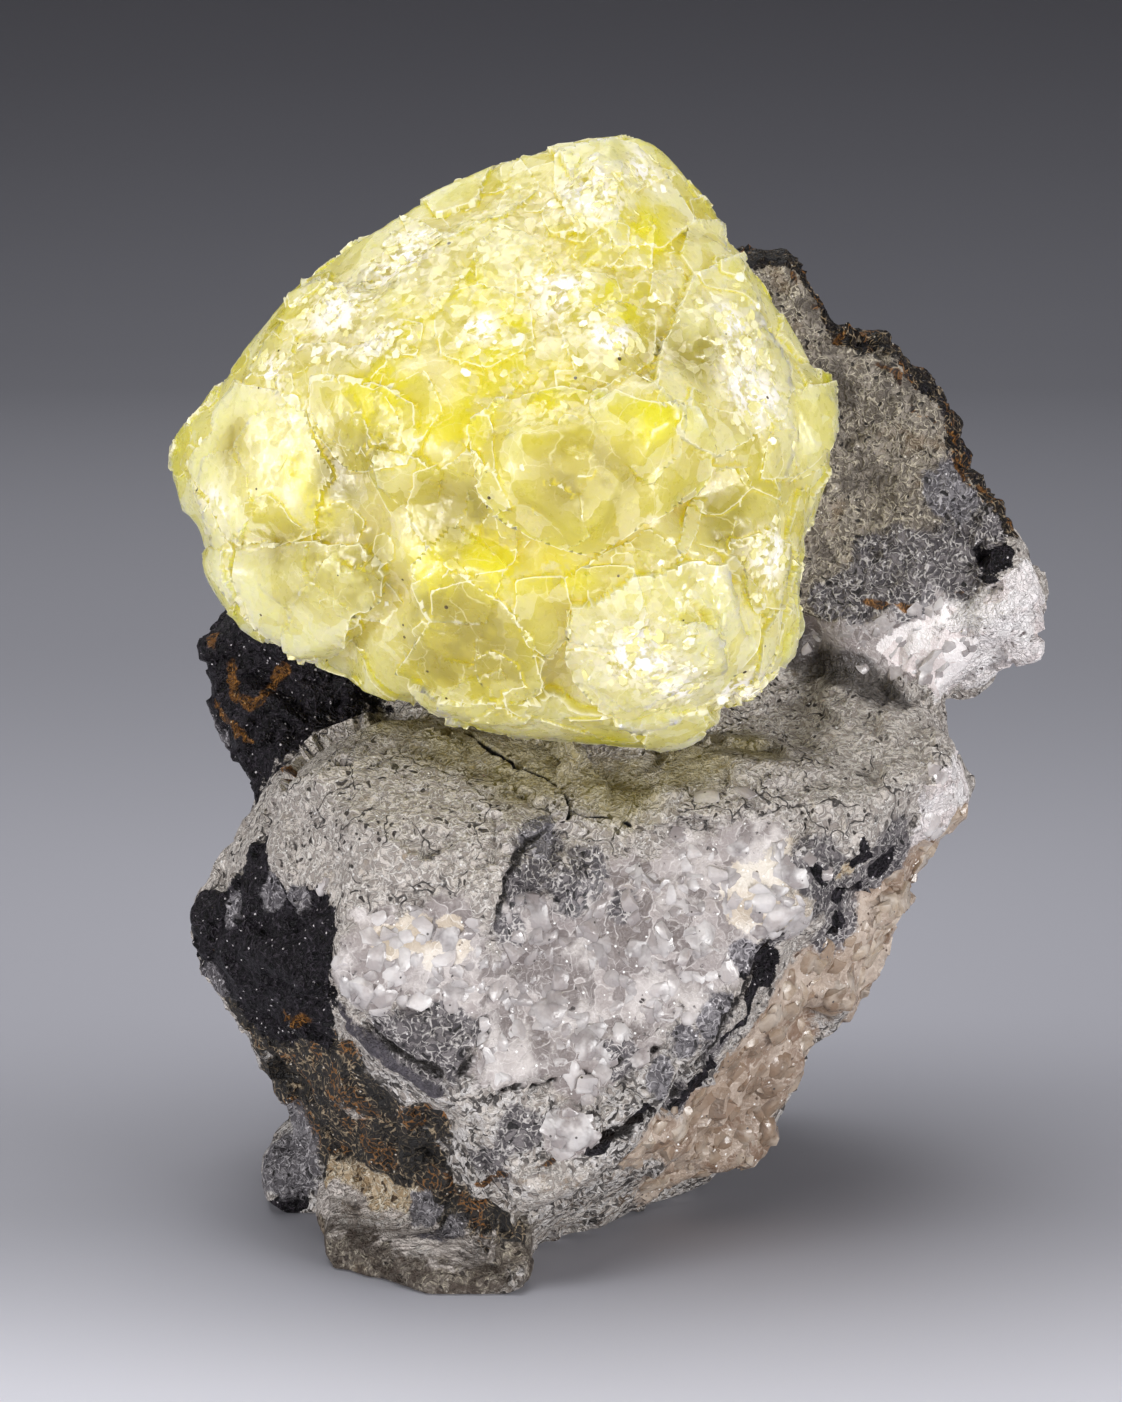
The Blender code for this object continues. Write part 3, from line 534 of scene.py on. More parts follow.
BLACK_LINES = [  # half width, points
    (0.65, [(-2.3, -22.0, 11.9), (-1.4, -21.5, 12.6), (0.8, -20.9, 13.1), (2.2, -20.4, 14.8),
            (4.6, -16.2, 14.0)]),
    (0.6, [(4.6, -16.2, 14.0), (6.0, -15.6, 15.3), (7.8, -16.3, 18.6), (8.9, -16.0, 20.2),
           (10.1, -15.4, 21.7)]),
    (0.65, [(10.1, -15.4, 21.7), (11.3, -15.1, 24.7), (12.4, -14.8, 26.2)]),
    (1.0, [(-24.0, 23.3, 38.0), (-19.0, 23.7, 31.0), (-12.0, 24.3, 27.0), (-4.0, 24.2, 23.0),
           (3.0, 25.4, 21.0)]),
    (0.8, [(3.0, 25.4, 21.0), (9.0, 25.1, 20.0), (14.0, 25.5, 15.0)]),
    (0.8, [(10.0, 18.6, 63.0), (16.0, 18.4, 60.0), (22.0, 19.1, 55.0), (27.0, 18.8, 50.0)]),
    (0.7, [(-12.0, 24.3, 27.0), (-15.0, 24.8, 20.0), (-20.0, 24.8, 15.0), (-24.0, 22.1, 12.0)]),
    (1.2, [(-30.5, -9.1, 34.6), (-31.3, -10.4, 31.5), (-32.7, -8.9, 29.4), (-34.6, -6.1, 26.9)]),
]
EDGE_LINES = [  # a dark rind grows here where the surface turns away from the front
    (7.0, [(11.0, 11.0, 81.6), (17.4, 9.7, 79.0), (17.3, 9.5, 76.5), (23.3, 9.2, 73.6), (28.6, 9.2, 67.0),
           (31.4, 9.0, 63.6)]),
]
SLATE_SPOTS = [
    (-32.3, -9.6, 29.4, 1.9), (-28.4, -12.1, 30.5, 2.2), (-25.9, -16.2, 30.9, 1.5),
    (-34.1, -4.4, 20.7, 2.2), (-28.7, -2.2, 5.2, 4.6), (5.9, -19.1, 19.9, 1.8), (8.4, -17.9, 22.5, 1.8),
    (3.4, -20.3, 17.3, 1.6), (10.4, -16.0, 27.0, 1.6), (28.3, 7.0, 62.0, 2.4), (30.2, 6.7, 60.4, 1.8),
    (-15.6, -16.0, 4.4, 1.5), (-13.6, -18.4, 4.0, 1.4), (-6.4, -18.4, 37.0, 1.8), (-33.0, 12.0, 38.0, 4.0),
]
LACE_SPOTS = [
    (-16.7, -23.0, 21.2, 2.2), (-14.8, -23.0, 22.8, 2.0), (-18.8, -21.8, 21.9, 1.8),
    (-13.2, -23.4, 20.4, 1.9), (-15.2, -23.0, 19.0, 1.9), (-12.6, -22.9, 22.4, 1.6),
    (-6.4, -18.4, 36.2, 2.4), (-4.6, -18.9, 32.8, 2.0), (-9.1, -20.4, 30.6, 1.6), (0.3, -17.7, 31.2, 1.7),
    (-7.9, -19.7, 33.9, 1.9), (-2.3, -17.0, 34.1, 2.0), (-10.8, -22.8, 10.6, 2.4), (-8.4, -23.0, 13.6, 1.8),
    (0.2, -20.6, 19.6, 1.8), (13.2, -15.4, 27.2, 1.6), (16.6, -14.4, 32.9, 3.0), (19.5, -9.8, 30.2, 3.6),
    (22.0, -8.8, 33.0, 3.4), (18.7, -9.4, 27.2, 3.0), (18.0, -13.0, 31.0, 2.6), (5.0, -17.2, 15.0, 1.8),
    (8.4, -16.6, 19.4, 1.8), (30.2, 6.5, 57.0, 3.0), (28.4, 6.6, 54.4, 2.8), (33.0, 7.0, 60.0, 2.4),
    (24.9, 5.0, 52.8, 2.6), (20.8, 4.2, 53.0, 2.4), (18.4, 4.4, 52.8, 1.8), (25.8, 5.9, 55.6, 3.0),
    (22.4, 5.0, 55.6, 2.4),
]
RUST_SPOTS = [
    (-26.7, -10.0, 14.3, 5.5), (-22.8, -15.8, 16.9, 4.6), (-19.5, -17.2, 14.0, 4.2),
    (-26.9, -6.0, 9.8, 5.0), (-23.3, -10.5, 8.6, 5.0), (-18.0, -15.4, 9.3, 4.6), (-15.3, -16.6, 7.0, 3.0),
    (-30.9, -6.2, 17.4, 3.6), (-12.6, -18.6, 5.6, 2.2), (-10.4, -19.8, 5.0, 1.7), (-8.4, -20.8, 4.6, 1.2),
    (-24.0, -7.0, 6.0, 3.0), (-15.6, -20.0, 13.0, 2.6), (-22.0, 23.4, 35.0, 2.6), (-17.5, 23.8, 30.2, 3.2),
    (-14.5, 24.1, 28.2, 2.4), (-8.0, 24.2, 24.8, 2.8), (-1.0, 24.8, 22.2, 2.2), (5.0, 25.3, 20.6, 2.6),
    (12.0, 25.2, 17.4, 2.8), (13.0, 18.5, 61.5, 2.6), (18.0, 18.5, 58.2, 3.0), (21.0, 19.0, 55.8, 2.2),
    (25.0, 18.9, 52.0, 2.4), (-20.0, 24.8, 15.0, 3.2), (-17.6, 24.8, 17.0, 2.4), (-22.5, 23.2, 13.0, 2.8),
]
OCHRE_LINES = [
    (0.8, [(-35.2, 7.4, 48.7), (-33.8, 5.7, 46.9), (-32.3, 5.0, 44.4), (-30.3, 3.4, 43.4),
           (-29.1, 3.5, 44.7), (-27.8, 2.6, 46.5)]),
    (0.5, [(-35.5, 9.6, 42.5), (-33.3, 4.7, 40.9), (-31.3, 2.3, 40.1), (-29.5, -0.2, 40.7),
           (-27.6, -7.2, 39.7)]),
    (0.4, [(-11.9, -20.0, 8.3), (-9.6, -22.1, 9.6), (-7.1, -22.7, 10.6), (-4.9, -22.3, 11.3),
           (-1.1, -21.4, 13.3)]),
    (0.45, [(-15.8, -18.7, 12.4), (-15.2, -16.5, 9.0), (-13.5, -18.2, 6.9), (-12.9, -18.4, 5.3)]),
    (0.4, [(15.6, 9.4, 79.4), (16.8, 9.2, 76.8), (21.0, 9.9, 72.8), (24.6, 9.0, 70.6), (27.4, 8.3, 67.4)]),
    (0.4, [(27.4, 8.3, 67.4), (29.8, 8.4, 63.2), (33.0, 8.0, 59.4), (35.6, 7.4, 56.0)]),
    (0.7, [(-33.6, -7.0, 24.0), (-31.9, -8.6, 21.6), (-28.6, -13.0, 21.2), (-26.2, -16.5, 21.6)]),
    (0.4, [(21.3, 3.6, 52.4), (24.5, 5.0, 51.6), (27.4, 5.6, 52.2), (29.6, 6.2, 53.0)]),
]
print("dark patches:", len(BLACK_SPOTS + SLATE_SPOTS + LACE_SPOTS + RUST_SPOTS), "balls")

# %% [markdown]
# Calcite grew in four looks: white and sugary over the middle of the front, cream where a little iron got
# in, pink on the cleavage faces of the right-hand wing, and beige in coarse grains down the broken flank.

# %% The calcite's patches
WHITE_SPOTS = [
    (-17.5, -23.7, 28.4, 4.6), (-20.7, -23.9, 25.9, 3.4), (-14.3, -22.8, 29.8, 3.6),
    (-12.0, -22.3, 26.4, 3.6), (-7.9, -19.5, 30.2, 3.0), (-1.4, -18.4, 27.6, 6.2), (1.8, -17.4, 30.6, 5.2),
    (6.7, -15.5, 32.4, 4.6), (5.1, -17.7, 27.5, 5.4), (-4.7, -20.1, 24.0, 5.6), (-7.9, -21.6, 21.0, 4.2),
    (0.2, -18.8, 23.6, 5.0), (-3.1, -20.9, 20.4, 3.8), (-3.9, -22.7, 13.8, 2.4), (11.0, -15.4, 34.6, 4.0),
    (8.0, -17.0, 29.4, 4.4), (17.0, 5.3, 49.4, 2.2), (20.1, 4.0, 49.0, 2.4), (23.3, 4.6, 49.4, 2.6),
    (26.5, 5.4, 51.0, 2.2), (24.6, 5.2, 47.4, 2.6), (21.1, 4.4, 47.6, 2.4), (28.6, 6.5, 46.3, 2.6),
    (6.0, 24.8, 46.0, 5.0), (0.0, 20.9, 50.0, 4.4), (12.0, 24.3, 42.0, 3.6), (-14.0, 20.1, 56.0, 4.0),
    (-9.0, 22.4, 52.0, 3.6), (-8.0, 26.0, 14.0, 4.0), (-2.0, 24.7, 10.0, 3.6), (24.0, 19.5, 30.0, 3.6),
]
CREAM_SPOTS = [
    (13.2, -16.3, 30.9, 3.2), (14.9, -15.4, 32.8, 3.2), (11.2, -16.0, 32.1, 2.6), (14.1, -15.8, 29.3, 2.2),
    (-16.7, -21.9, 31.0, 2.0), (-14.0, -22.7, 29.7, 2.2), (-18.3, -22.8, 30.1, 1.6),
]
PINK_SPOTS = [
    (33.0, 4.6, 50.6, 3.6), (35.2, 6.6, 52.4, 2.8), (36.8, 8.1, 49.9, 3.8), (29.8, 5.4, 49.0, 3.2),
    (26.2, 5.2, 47.8, 2.8), (32.5, 10.7, 45.2, 4.6), (34.0, 6.0, 47.0, 4.4), (28.8, 7.8, 45.1, 3.0),
    (36.6, 12.0, 47.0, 4.0), (26.4, -5.6, 34.8, 3.0), (27.5, -6.1, 37.6, 3.0), (27.6, -1.6, 37.0, 4.0),
]
BEIGE_SPOTS = [
    (9.6, -10.7, 11.6, 5.6), (7.0, -13.0, 11.5, 4.6), (3.5, -16.9, 10.6, 3.4), (12.0, -10.7, 17.0, 4.6),
    (15.0, -10.2, 20.4, 4.2), (17.6, -7.8, 22.3, 4.4), (20.2, -6.8, 23.7, 4.4), (22.8, -5.0, 26.7, 4.4),
    (24.6, -4.6, 29.6, 4.2), (5.5, -7.6, 5.3, 4.6), (10.7, -6.2, 7.0, 4.4), (13.9, -7.1, 14.9, 4.8),
    (26.6, 1.0, 31.0, 5.0), (21.0, 4.0, 20.0, 8.0),
]
print("calcite patches:", len(WHITE_SPOTS + CREAM_SPOTS + PINK_SPOTS + BEIGE_SPOTS), "balls")

# %% [markdown]
# What is left is weathering and painted shade: a yellow stain where the brucite sits, partly painted
# shadow, brown skins, darkened low on the foot with painted shade, the streaked front of the foot with its
# golden top, painted shade in the hollow under the wing, and the lines where the rock has split. Hair
# cracks are the thinnest, fissures are wider, and the ridges are splinters that stand up between them.

# %% Stains, painted shade, crusts and splits
# A yellow stain where the brucite sits, which is partly painted shadow of the brucite.
STAIN_AND_SHADOW_SPOTS = [
    (-13.0, -8.6, 43.0, 6.6), (-7.0, -11.0, 41.6, 7.0), (0.0, -12.2, 40.4, 6.0), (6.0, -9.4, 41.0, 5.0),
    (11.0, -6.0, 42.4, 4.4), (-18.0, -6.0, 44.0, 4.6),
]
BROWN_SPOTS = [
    (15.5, 9.4, 78.6, 5.0), (20.2, 9.4, 72.0, 7.0), (24.5, 8.2, 66.4, 7.5), (18.0, 7.0, 64.0, 7.0),
    (28.7, 7.1, 61.3, 6.0), (22.4, 6.2, 58.0, 7.5), (15.0, 5.0, 56.0, 7.0), (19.0, 3.6, 51.4, 4.6),
    (-22.2, -18.6, 1.4, 3.2), (-18.9, -21.4, 1.2, 2.8), (-14.0, -24.2, 1.0, 2.8), (-24.6, -16.0, 1.6, 3.0),
    (-11.2, -24.2, 1.0, 2.4), (-9.6, -22.2, 2.0, 2.8), (-8.0, -20.6, 3.6, 2.2), (-12.4, -22.6, 1.4, 2.6),
    (-26.6, -12.0, 1.8, 3.0), (-16.4, -23.4, 1.0, 2.8), (-20.6, -20.2, 1.2, 3.0),
]
STREAKED_SPOTS = [
    (-24.2, -9.9, 3.2, 2.4), (-21.5, -12.6, 3.5, 2.2), (-18.9, -14.2, 3.4, 2.0), (-16.3, -17.2, 3.2, 2.0),
    (-13.7, -20.0, 3.2, 2.0), (-11.3, -20.8, 3.0, 2.0), (-22.6, -15.9, 3.2, 1.9), (-19.6, -17.9, 3.1, 1.9),
    (-16.6, -20.3, 2.8, 1.9), (-13.7, -22.0, 2.7, 1.8), (-26.2, -7.0, 2.8, 2.0), (-22.8, -13.4, 3.3, 2.0),
]
GOLD_SPOTS = [
    (-24.3, -8.2, 4.8, 1.5), (-21.2, -10.5, 5.0, 1.7), (-18.7, -12.6, 5.1, 1.6), (-16.4, -14.8, 4.7, 1.3),
    (-22.5, -9.2, 4.8, 1.7), (-19.8, -11.8, 5.2, 1.7), (-17.6, -13.4, 5.0, 1.5), (-32.9, -9.0, 22.6, 1.2),
    (18.4, -12.4, 33.6, 0.9), (-25.0, -19.0, 31.8, 0.8),
]
# Painted shade: the dark in the hollow under the wing.
HOLLOW_SHADE_LINES = [  # the shaded hollow under the wing
    (1.9, [(14.4, 4.4, 48.4), (17.2, 5.0, 47.0), (19.6, 3.8, 46.0), (22.0, 3.0, 44.9), (23.8, 1.6, 43.8)]),
]
CRACKS = [
    (0.3, [(-12.6, -6.6, 43.0), (-10.5, -9.5, 42.4), (-8.0, -11.7, 41.6), (-5.9, -12.8, 41.2),
           (-4.3, -14.4, 40.5), (-3.6, -15.7, 39.4), (-3.9, -17.4, 38.0)]),
    (0.26, [(-3.6, -15.7, 39.4), (-2.3, -16.0, 38.6), (-0.5, -15.6, 38.6), (1.1, -16.4, 37.6),
            (2.2, -17.0, 37.0)]),
    (0.24, [(-4.3, -14.4, 40.5), (-3.2, -13.6, 40.6), (-3.0, -12.6, 41.0)]),
]
FISSURES = [
    (0.4, [(-14.8, -23.9, 17.3), (-13.1, -23.5, 18.7), (-11.7, -23.3, 20.4), (-10.8, -22.5, 22.2),
           (-10.5, -22.5, 25.1)]),
    (0.4, [(-10.1, -22.8, 17.0), (-6.3, -22.1, 17.4), (-3.1, -21.4, 18.1), (0.2, -20.3, 19.1),
           (3.4, -19.4, 19.6)]),
    (0.55, [(-5.7, -18.0, 37.7), (-7.9, -20.1, 36.5), (-8.9, -20.8, 34.6), (-9.5, -21.2, 32.3),
            (-10.5, -20.9, 30.0)]),
    (0.6, [(-24.0, -20.3, 24.6), (-21.0, -21.4, 22.8), (-17.6, -22.6, 20.4), (-14.4, -23.4, 19.0)]),
    (0.7, [(-6.3, -22.1, 11.3), (-1.4, -21.6, 12.8), (1.8, -20.4, 14.1), (5.4, -17.0, 15.4),
           (7.2, -17.0, 17.8)]),
    (0.7, [(7.2, -17.0, 17.8), (8.8, -17.4, 21.6), (10.5, -15.6, 23.5), (12.5, -15.5, 26.9),
           (14.9, -15.4, 29.4)]),
]
RIDGES = [
    (0.8, [(-26.0, -18.8, 25.4), (-22.9, -20.0, 23.1), (-20.0, -21.4, 21.0), (-17.6, -22.4, 19.3),
           (-14.6, -23.6, 17.4)]),
    (0.9, [(-22.0, -17.0, 4.4), (-18.0, -18.0, 4.0), (-13.0, -20.6, 3.8), (-9.0, -22.0, 3.6)]),
]
print("splits:", len(CRACKS), "cracks,", len(FISSURES), "fissures and", len(RIDGES), "ridges")

# %% [markdown]
# ## The host rock's skin
#
# The rock gets a fine skin as the brucite did. It is refined along the hair cracks, so that these can be
# cut thinner than its squares. Then every patch becomes a field on it, measured at places that wander a
# little. The dark rind grows only where the surface turns away from the front, so its field is limited by
# the normals.

# %% Make the rock's skin and measure its fields
ROCK_CELL = 0.98
ROCK_SMOOTHING = 1
CRACK_REACH = 0.9  # the skin is refined this near to a crack
CRACK_CUTS = 2
RIND_FACING = 0.72  # the larger, the further the rind comes round to the front

rock_mesh = fine_skin("matrix", ROCK_CELL, ROCK_SMOOTHING)
bm = bmesh.new()
bm.from_mesh(rock_mesh)
crack_bands = [(CRACK_REACH, points) for _, points in CRACKS]
near_crack = in_lines(np.array([v.co / MM for v in bm.verts]), crack_bands) > 0
cracked_edges = [e for e in bm.edges if near_crack[e.verts[0].index] and near_crack[e.verts[1].index]]
bmesh.ops.subdivide_edges(bm, edges=cracked_edges, cuts=CRACK_CUTS, use_grid_fill=True)
bmesh.ops.triangulate(bm, faces=[f for f in bm.faces if len(f.verts) > 4])
bm.to_mesh(rock_mesh)
bm.free()
rock_places = read(rock_mesh, "co")
rock_normals = read(rock_mesh, "normal")
wandering = bent(rock_places, 5.0, 1.4, 1.0)  # broad bends
wandering = bent(wandering, 1.6, 0.6, 2.0)  # and finer ones on top of them
edge = np.minimum(in_lines(wandering, EDGE_LINES), rock_normals[:, 1] + RIND_FACING)
black = np.maximum.reduce([in_spots(wandering, BLACK_SPOTS), in_lines(wandering, BLACK_LINES), edge])
spots_of = {
    "slate": SLATE_SPOTS, "lace": LACE_SPOTS, "rust": RUST_SPOTS,
    "white": WHITE_SPOTS, "cream": CREAM_SPOTS, "pink": PINK_SPOTS, "beige": BEIGE_SPOTS,
    "stain_and_shadow": STAIN_AND_SHADOW_SPOTS, "brown": BROWN_SPOTS, "streaked": STREAKED_SPOTS, "gold": GOLD_SPOTS,
}
patches = {name: in_spots(wandering, spots) for name, spots in spots_of.items()}
patches["black"] = black
patches["rind"] = edge
patches["ochre"] = in_lines(wandering, OCHRE_LINES)
patches["hollow_shade"] = in_lines(wandering, HOLLOW_SHADE_LINES)
crack = in_lines(bent(rock_places, 1.4, 0.25, 4.0), CRACKS)
fissure = in_lines(bent(rock_places, 1.2, 0.5, 6.0), FISSURES)
ridge = in_lines(bent(rock_places, 2.0, 0.3, 7.0), RIDGES)
print("rock:", len(rock_places), "vertices,", len(cracked_edges), "edges refined along the cracks")

# %% [markdown]
# ## The host rock's relief
#
# Each mineral breaks in its own way. The rock as a whole has broad flat facets. The black serpentine and
# the rusty parts are the most hackly, the calcite is lumpy, the rind is knobbly, and the grey rock is fine
# and pitted. Vertices on the flat underside stay where they are, and no vertex goes below it.

# %% Raise the rock's relief
# Heights and widths in millimetres.
BROAD_FACETS = (0.45, 5.5)
SMALL_FACETS = (0.40, 2.1)
ROUGHNESS = (0.10, 0.8)
WHITE_LUMPS = (0.30, 2.4)
BEIGE_LUMPS = (0.40, 2.6)
RIND_KNOBS = (0.8, 1.6)
RIND_THICKNESS = 0.3
PITS = (0.35, 1.3)
CRACK_DEPTH = 0.7
FISSURE_DEPTH = 0.8
RIDGE_HEIGHT = 0.6
BASE_FADE = 1.2  # relief fades out this near to the underside
BASE_STILL = 0.05  # and this near to it there is none


def cells(places, size, seed):
    """How near each place is to the middle of its Voronoi cell: 1 at the middle."""
    offset = Vector((seed, seed, seed))
    return 1 - np.array([noise.voronoi(Vector(p) / size + offset)[0][0] for p in places])


whitish = np.maximum(patches["white"], patches["cream"])
is_white = smooth(whitish, -0.15, 0.2)
is_beige = smooth(patches["beige"], -0.15, 0.2)
is_dark = smooth(np.maximum(black, patches["rust"]), -0.1, 0.1)
is_rind = smooth(edge, 0, 0.3)
is_grey = (1 - is_white) * (1 - is_dark) * (1 - is_beige)
# The factors in brackets say how much of each kind of relief a mineral gets.
height, width = BROAD_FACETS
relief = height * facets(rock_places, width, 1.0) * (1 - 0.6 * is_white)
height, width = SMALL_FACETS
relief += height * facets(rock_places, width, 3.0) * (0.35 + 1.1 * is_dark + 0.5 * is_beige)
height, width = ROUGHNESS
relief += height * grain(rock_places, width, seed=2.0) * (0.5 + 1.5 * is_dark)
height, width = WHITE_LUMPS
relief += is_white * height * (cells(rock_places, width, 3.0) - 0.5)
height, width = BEIGE_LUMPS
relief += is_beige * height * (cells(rock_places, width, 8.0) - 0.5)
height, width = RIND_KNOBS
relief += is_rind * (RIND_THICKNESS + height * (cells(rock_places, width, 9.0) - 0.5))
height, width = PITS
relief -= is_grey * height * smooth(cells(rock_places, width, 5.0), 0.72, 0.9)
relief -= CRACK_DEPTH * smooth(crack) + FISSURE_DEPTH * smooth(fissure)
relief += RIDGE_HEIGHT * smooth(ridge)
relief -= relief.mean()
upright = smooth(rock_places[:, 2], BASE_STILL, BASE_FADE)
rock_places = rock_places + rock_normals * (relief * upright)[:, None]
rock_places[:, 2] = np.maximum(rock_places[:, 2], 0)
print("relief from", round(relief.min(), 2), "to", round(relief.max(), 2), "mm")

# %% [markdown]
# ## Close the seat round the brucite
#
# The solids keep a small gap so that they never overlap. On the specimen the two minerals are grown
# together, so rock that is almost touching the brucite is drawn onto it.

# %% Draw the rock's skin onto the brucite
SEAT_REACH = 1.9  # rock further from the brucite than this stays where it is
SEAT_TOUCH = 1.0  # rock nearer than this is drawn all the way
SEAT_OVERLAP = 0.15
LEDGE_LEVEL = 40  # the brucite touches the rock only above this

brucite_tree = tree_of(read(brucite_mesh, "co"))
brucite_normals = read(brucite_mesh, "normal")
for index in np.flatnonzero(rock_places[:, 2] > LEDGE_LEVEL):
    point, nearest, distance = brucite_tree.find(rock_places[index])
    if distance < SEAT_REACH:
        target = np.array(point) - SEAT_OVERLAP * brucite_normals[nearest]
        pull = 1 - smooth(distance, SEAT_TOUCH, SEAT_REACH)
        rock_places[index] += (target - rock_places[index]) * pull
place(rock_mesh, rock_places)
patches.update({"crack": crack, "fissure": fissure, "ridge": ridge})
for name, values in patches.items():
    keep(rock_mesh, name, np.clip(values, -1, 1))
print("rock:", sum(len(f.vertices) - 2 for f in rock_mesh.polygons), "triangles")

# %% [markdown]
# ## Colours and nodes
#
# Colours are given as sRGB hex, as a colour picker shows them, and one function turns them linear for the
# shaders. One more small function adds a node with its settings and its links. On top of these, a mask is a
# product of steps, and a surface is a stack of colours, each laid where its mask is.

# %% Helpers for materials
def colour(code):
    """A linear RGBA from an sRGB hex code."""
    channels = [int(code[start:start + 2], 16) / 255 for start in (1, 3, 5)]
    return (*(c / 12.92 if c <= 0.04045 else ((c + 0.055) / 1.055) ** 2.4 for c in channels), 1)


def add(tree, kind, *values, output=0, **settings):
    """Adds a node and returns one of its outputs. Values fill its inputs in order. Settings that start with
    a capital are inputs by name, and the others are the node's options. A value that is another node's
    output is linked."""
    node = tree.nodes.new("ShaderNode" + kind)
    inputs = list(zip(node.inputs, values))
    for name, value in settings.items():
        if name[0].isupper():
            inputs.append((node.inputs[name.replace("_", " ")], value))
        else:
            setattr(node, name, value)
    for socket, value in inputs:
        if isinstance(value, bpy.types.NodeSocket):
            tree.links.new(value, socket)
        elif value is not None:
            socket.default_value = value
    return node.outputs[output]


def new_material(name, **shader_values):
    """A material, its node tree and its Principled shader with these values on its own sockets."""
    made = bpy.data.materials.new(name)
    made.use_nodes = True
    shader = made.node_tree.nodes["Principled BSDF"]
    for socket, value in shader_values.items():
        shader.inputs[socket.replace("_", " ")].default_value = value
    return made, made.node_tree, shader


def per_mm(millimetres):
    """A texture's scale, for features about this many millimetres wide."""
    return 1 / (millimetres * MM)


def where(tree, *steps):
    """A mask: the product of its steps. A step is a value, or (value, low, high) that rises from 0 to 1."""
    mask = None
    for step in steps:
        if isinstance(step, tuple):
            step = add(tree, "MapRange", *step, interpolation_type="SMOOTHSTEP")
        mask = step if mask is None else add(tree, "Math", mask, step, operation="MULTIPLY")
    return mask


def layered(tree, base, *coats):
    """Colours laid over each other. Each coat is (colour, the steps of its mask)."""
    base = colour(base) if isinstance(base, str) else base
    for coat, *steps in coats:
        coat = colour(coat) if isinstance(coat, str) else coat
        base = add(tree, "Mix", where(tree, *steps), *[None] * 5, base, coat, data_type="RGBA", output=2)
    return base


# %% [markdown]
# ## Brucite: a waxy, translucent magnesium hydroxide
#
# Brucite's IOR is about 1.57 and its lustre is waxy to pearly. Light goes some millimetres into it and blue
# is lost on the way, so it looks pale where it scatters at once and pure yellow where light comes from deep
# inside. Subsurface scattering does the first part. The rims of the plates are bruised and pale, with a
# painted highlight, the hollows get a painted deep-yellow glow, and fine flakes tilt this way and that,
# which makes the surface sparkle.

# %% The brucite's textures
brucite_look, tree, shader = new_material(
    "waxy translucent brucite", IOR=1.57, Subsurface_Scale=0.018,
    Subsurface_Radius=(1.0, 0.92, 0.12), Coat_Roughness=0.06,
)
here = add(tree, "TexCoord", output="Object")
rim, foot, crusty_here, painted_glow, frost_and_highlight, smoke, shade = (
    add(tree, "Attribute", attribute_name=name, output="Fac")
    for name in ("rim", "foot", "crusty", "painted_glow", "frost_and_highlight", "smoke", "shade"))
clouds = add(tree, "TexNoise", here, Scale=per_mm(4.5), Detail=3.0)
veils = add(tree, "TexNoise", here, Scale=per_mm(2.6), Detail=4.0, Roughness=0.62)
fine = add(tree, "TexNoise", here, Scale=per_mm(0.7), Detail=4.0)
swirl = add(tree, "TexNoise", here, Scale=per_mm(2.0), Detail=2.0, output="Color")
warped = add(tree, "VectorMath", swirl, (1.5 * MM,) * 3, here, operation="MULTIPLY_ADD")
chips = add(tree, "TexVoronoi", warped, Scale=per_mm(0.75), output="Color")
scales = add(tree, "TexVoronoi", warped, Scale=per_mm(1.9), output="Color")
chip_shade = add(tree, "SeparateColor", chips)
scale_shade = add(tree, "SeparateColor", scales)
long_net, short_net = (
    add(tree, "TexVoronoi", warped, Scale=per_mm(size), feature="DISTANCE_TO_EDGE") for size in (4.2, 1.9))
long_healed = where(tree, (long_net, 0.015, 0.0), (clouds, 0.48, 0.56, 0.0, 0.7))
short_healed = where(tree, (short_net, 0.030, 0.0), (veils, 0.52, 0.6, 0.0, 0.6))
healed = add(tree, "Math", long_healed, short_healed, operation="MAXIMUM")
frosting = add(tree, "Math", chip_shade, 0.3, fine, operation="MULTIPLY_ADD")
frosted_and_highlit = where(tree, frost_and_highlight, (frosting, 0.52, 0.7))
specks = add(tree, "TexVoronoi", here, Scale=per_mm(1.7))
speck_cells = add(tree, "TexVoronoi", here, Scale=per_mm(1.7), output="Color")
speck_size = add(tree, "MapRange", add(tree, "SeparateColor", speck_cells), 0.7, 1.0, 0.0, 0.10)
speck = add(tree, "Math", specks, speck_size, operation="LESS_THAN")
veiled = add(tree, "Math", frost_and_highlight, 0.13, veils, operation="MULTIPLY_ADD")
print("the brucite's textures:", len(tree.nodes), "nodes")

# %% [markdown]
# The colours lie over each other like glazes, undermost first: olive yellow for clear plates, cream for
# pale ones, smoke and painted glow in their patches, a painted deep-yellow glow at the foot of a rim, veils
# and chips of paler yellow, healed cracks, the pale rims with their painted highlight, frost with painted
# highlights, and at last a few brown specks.

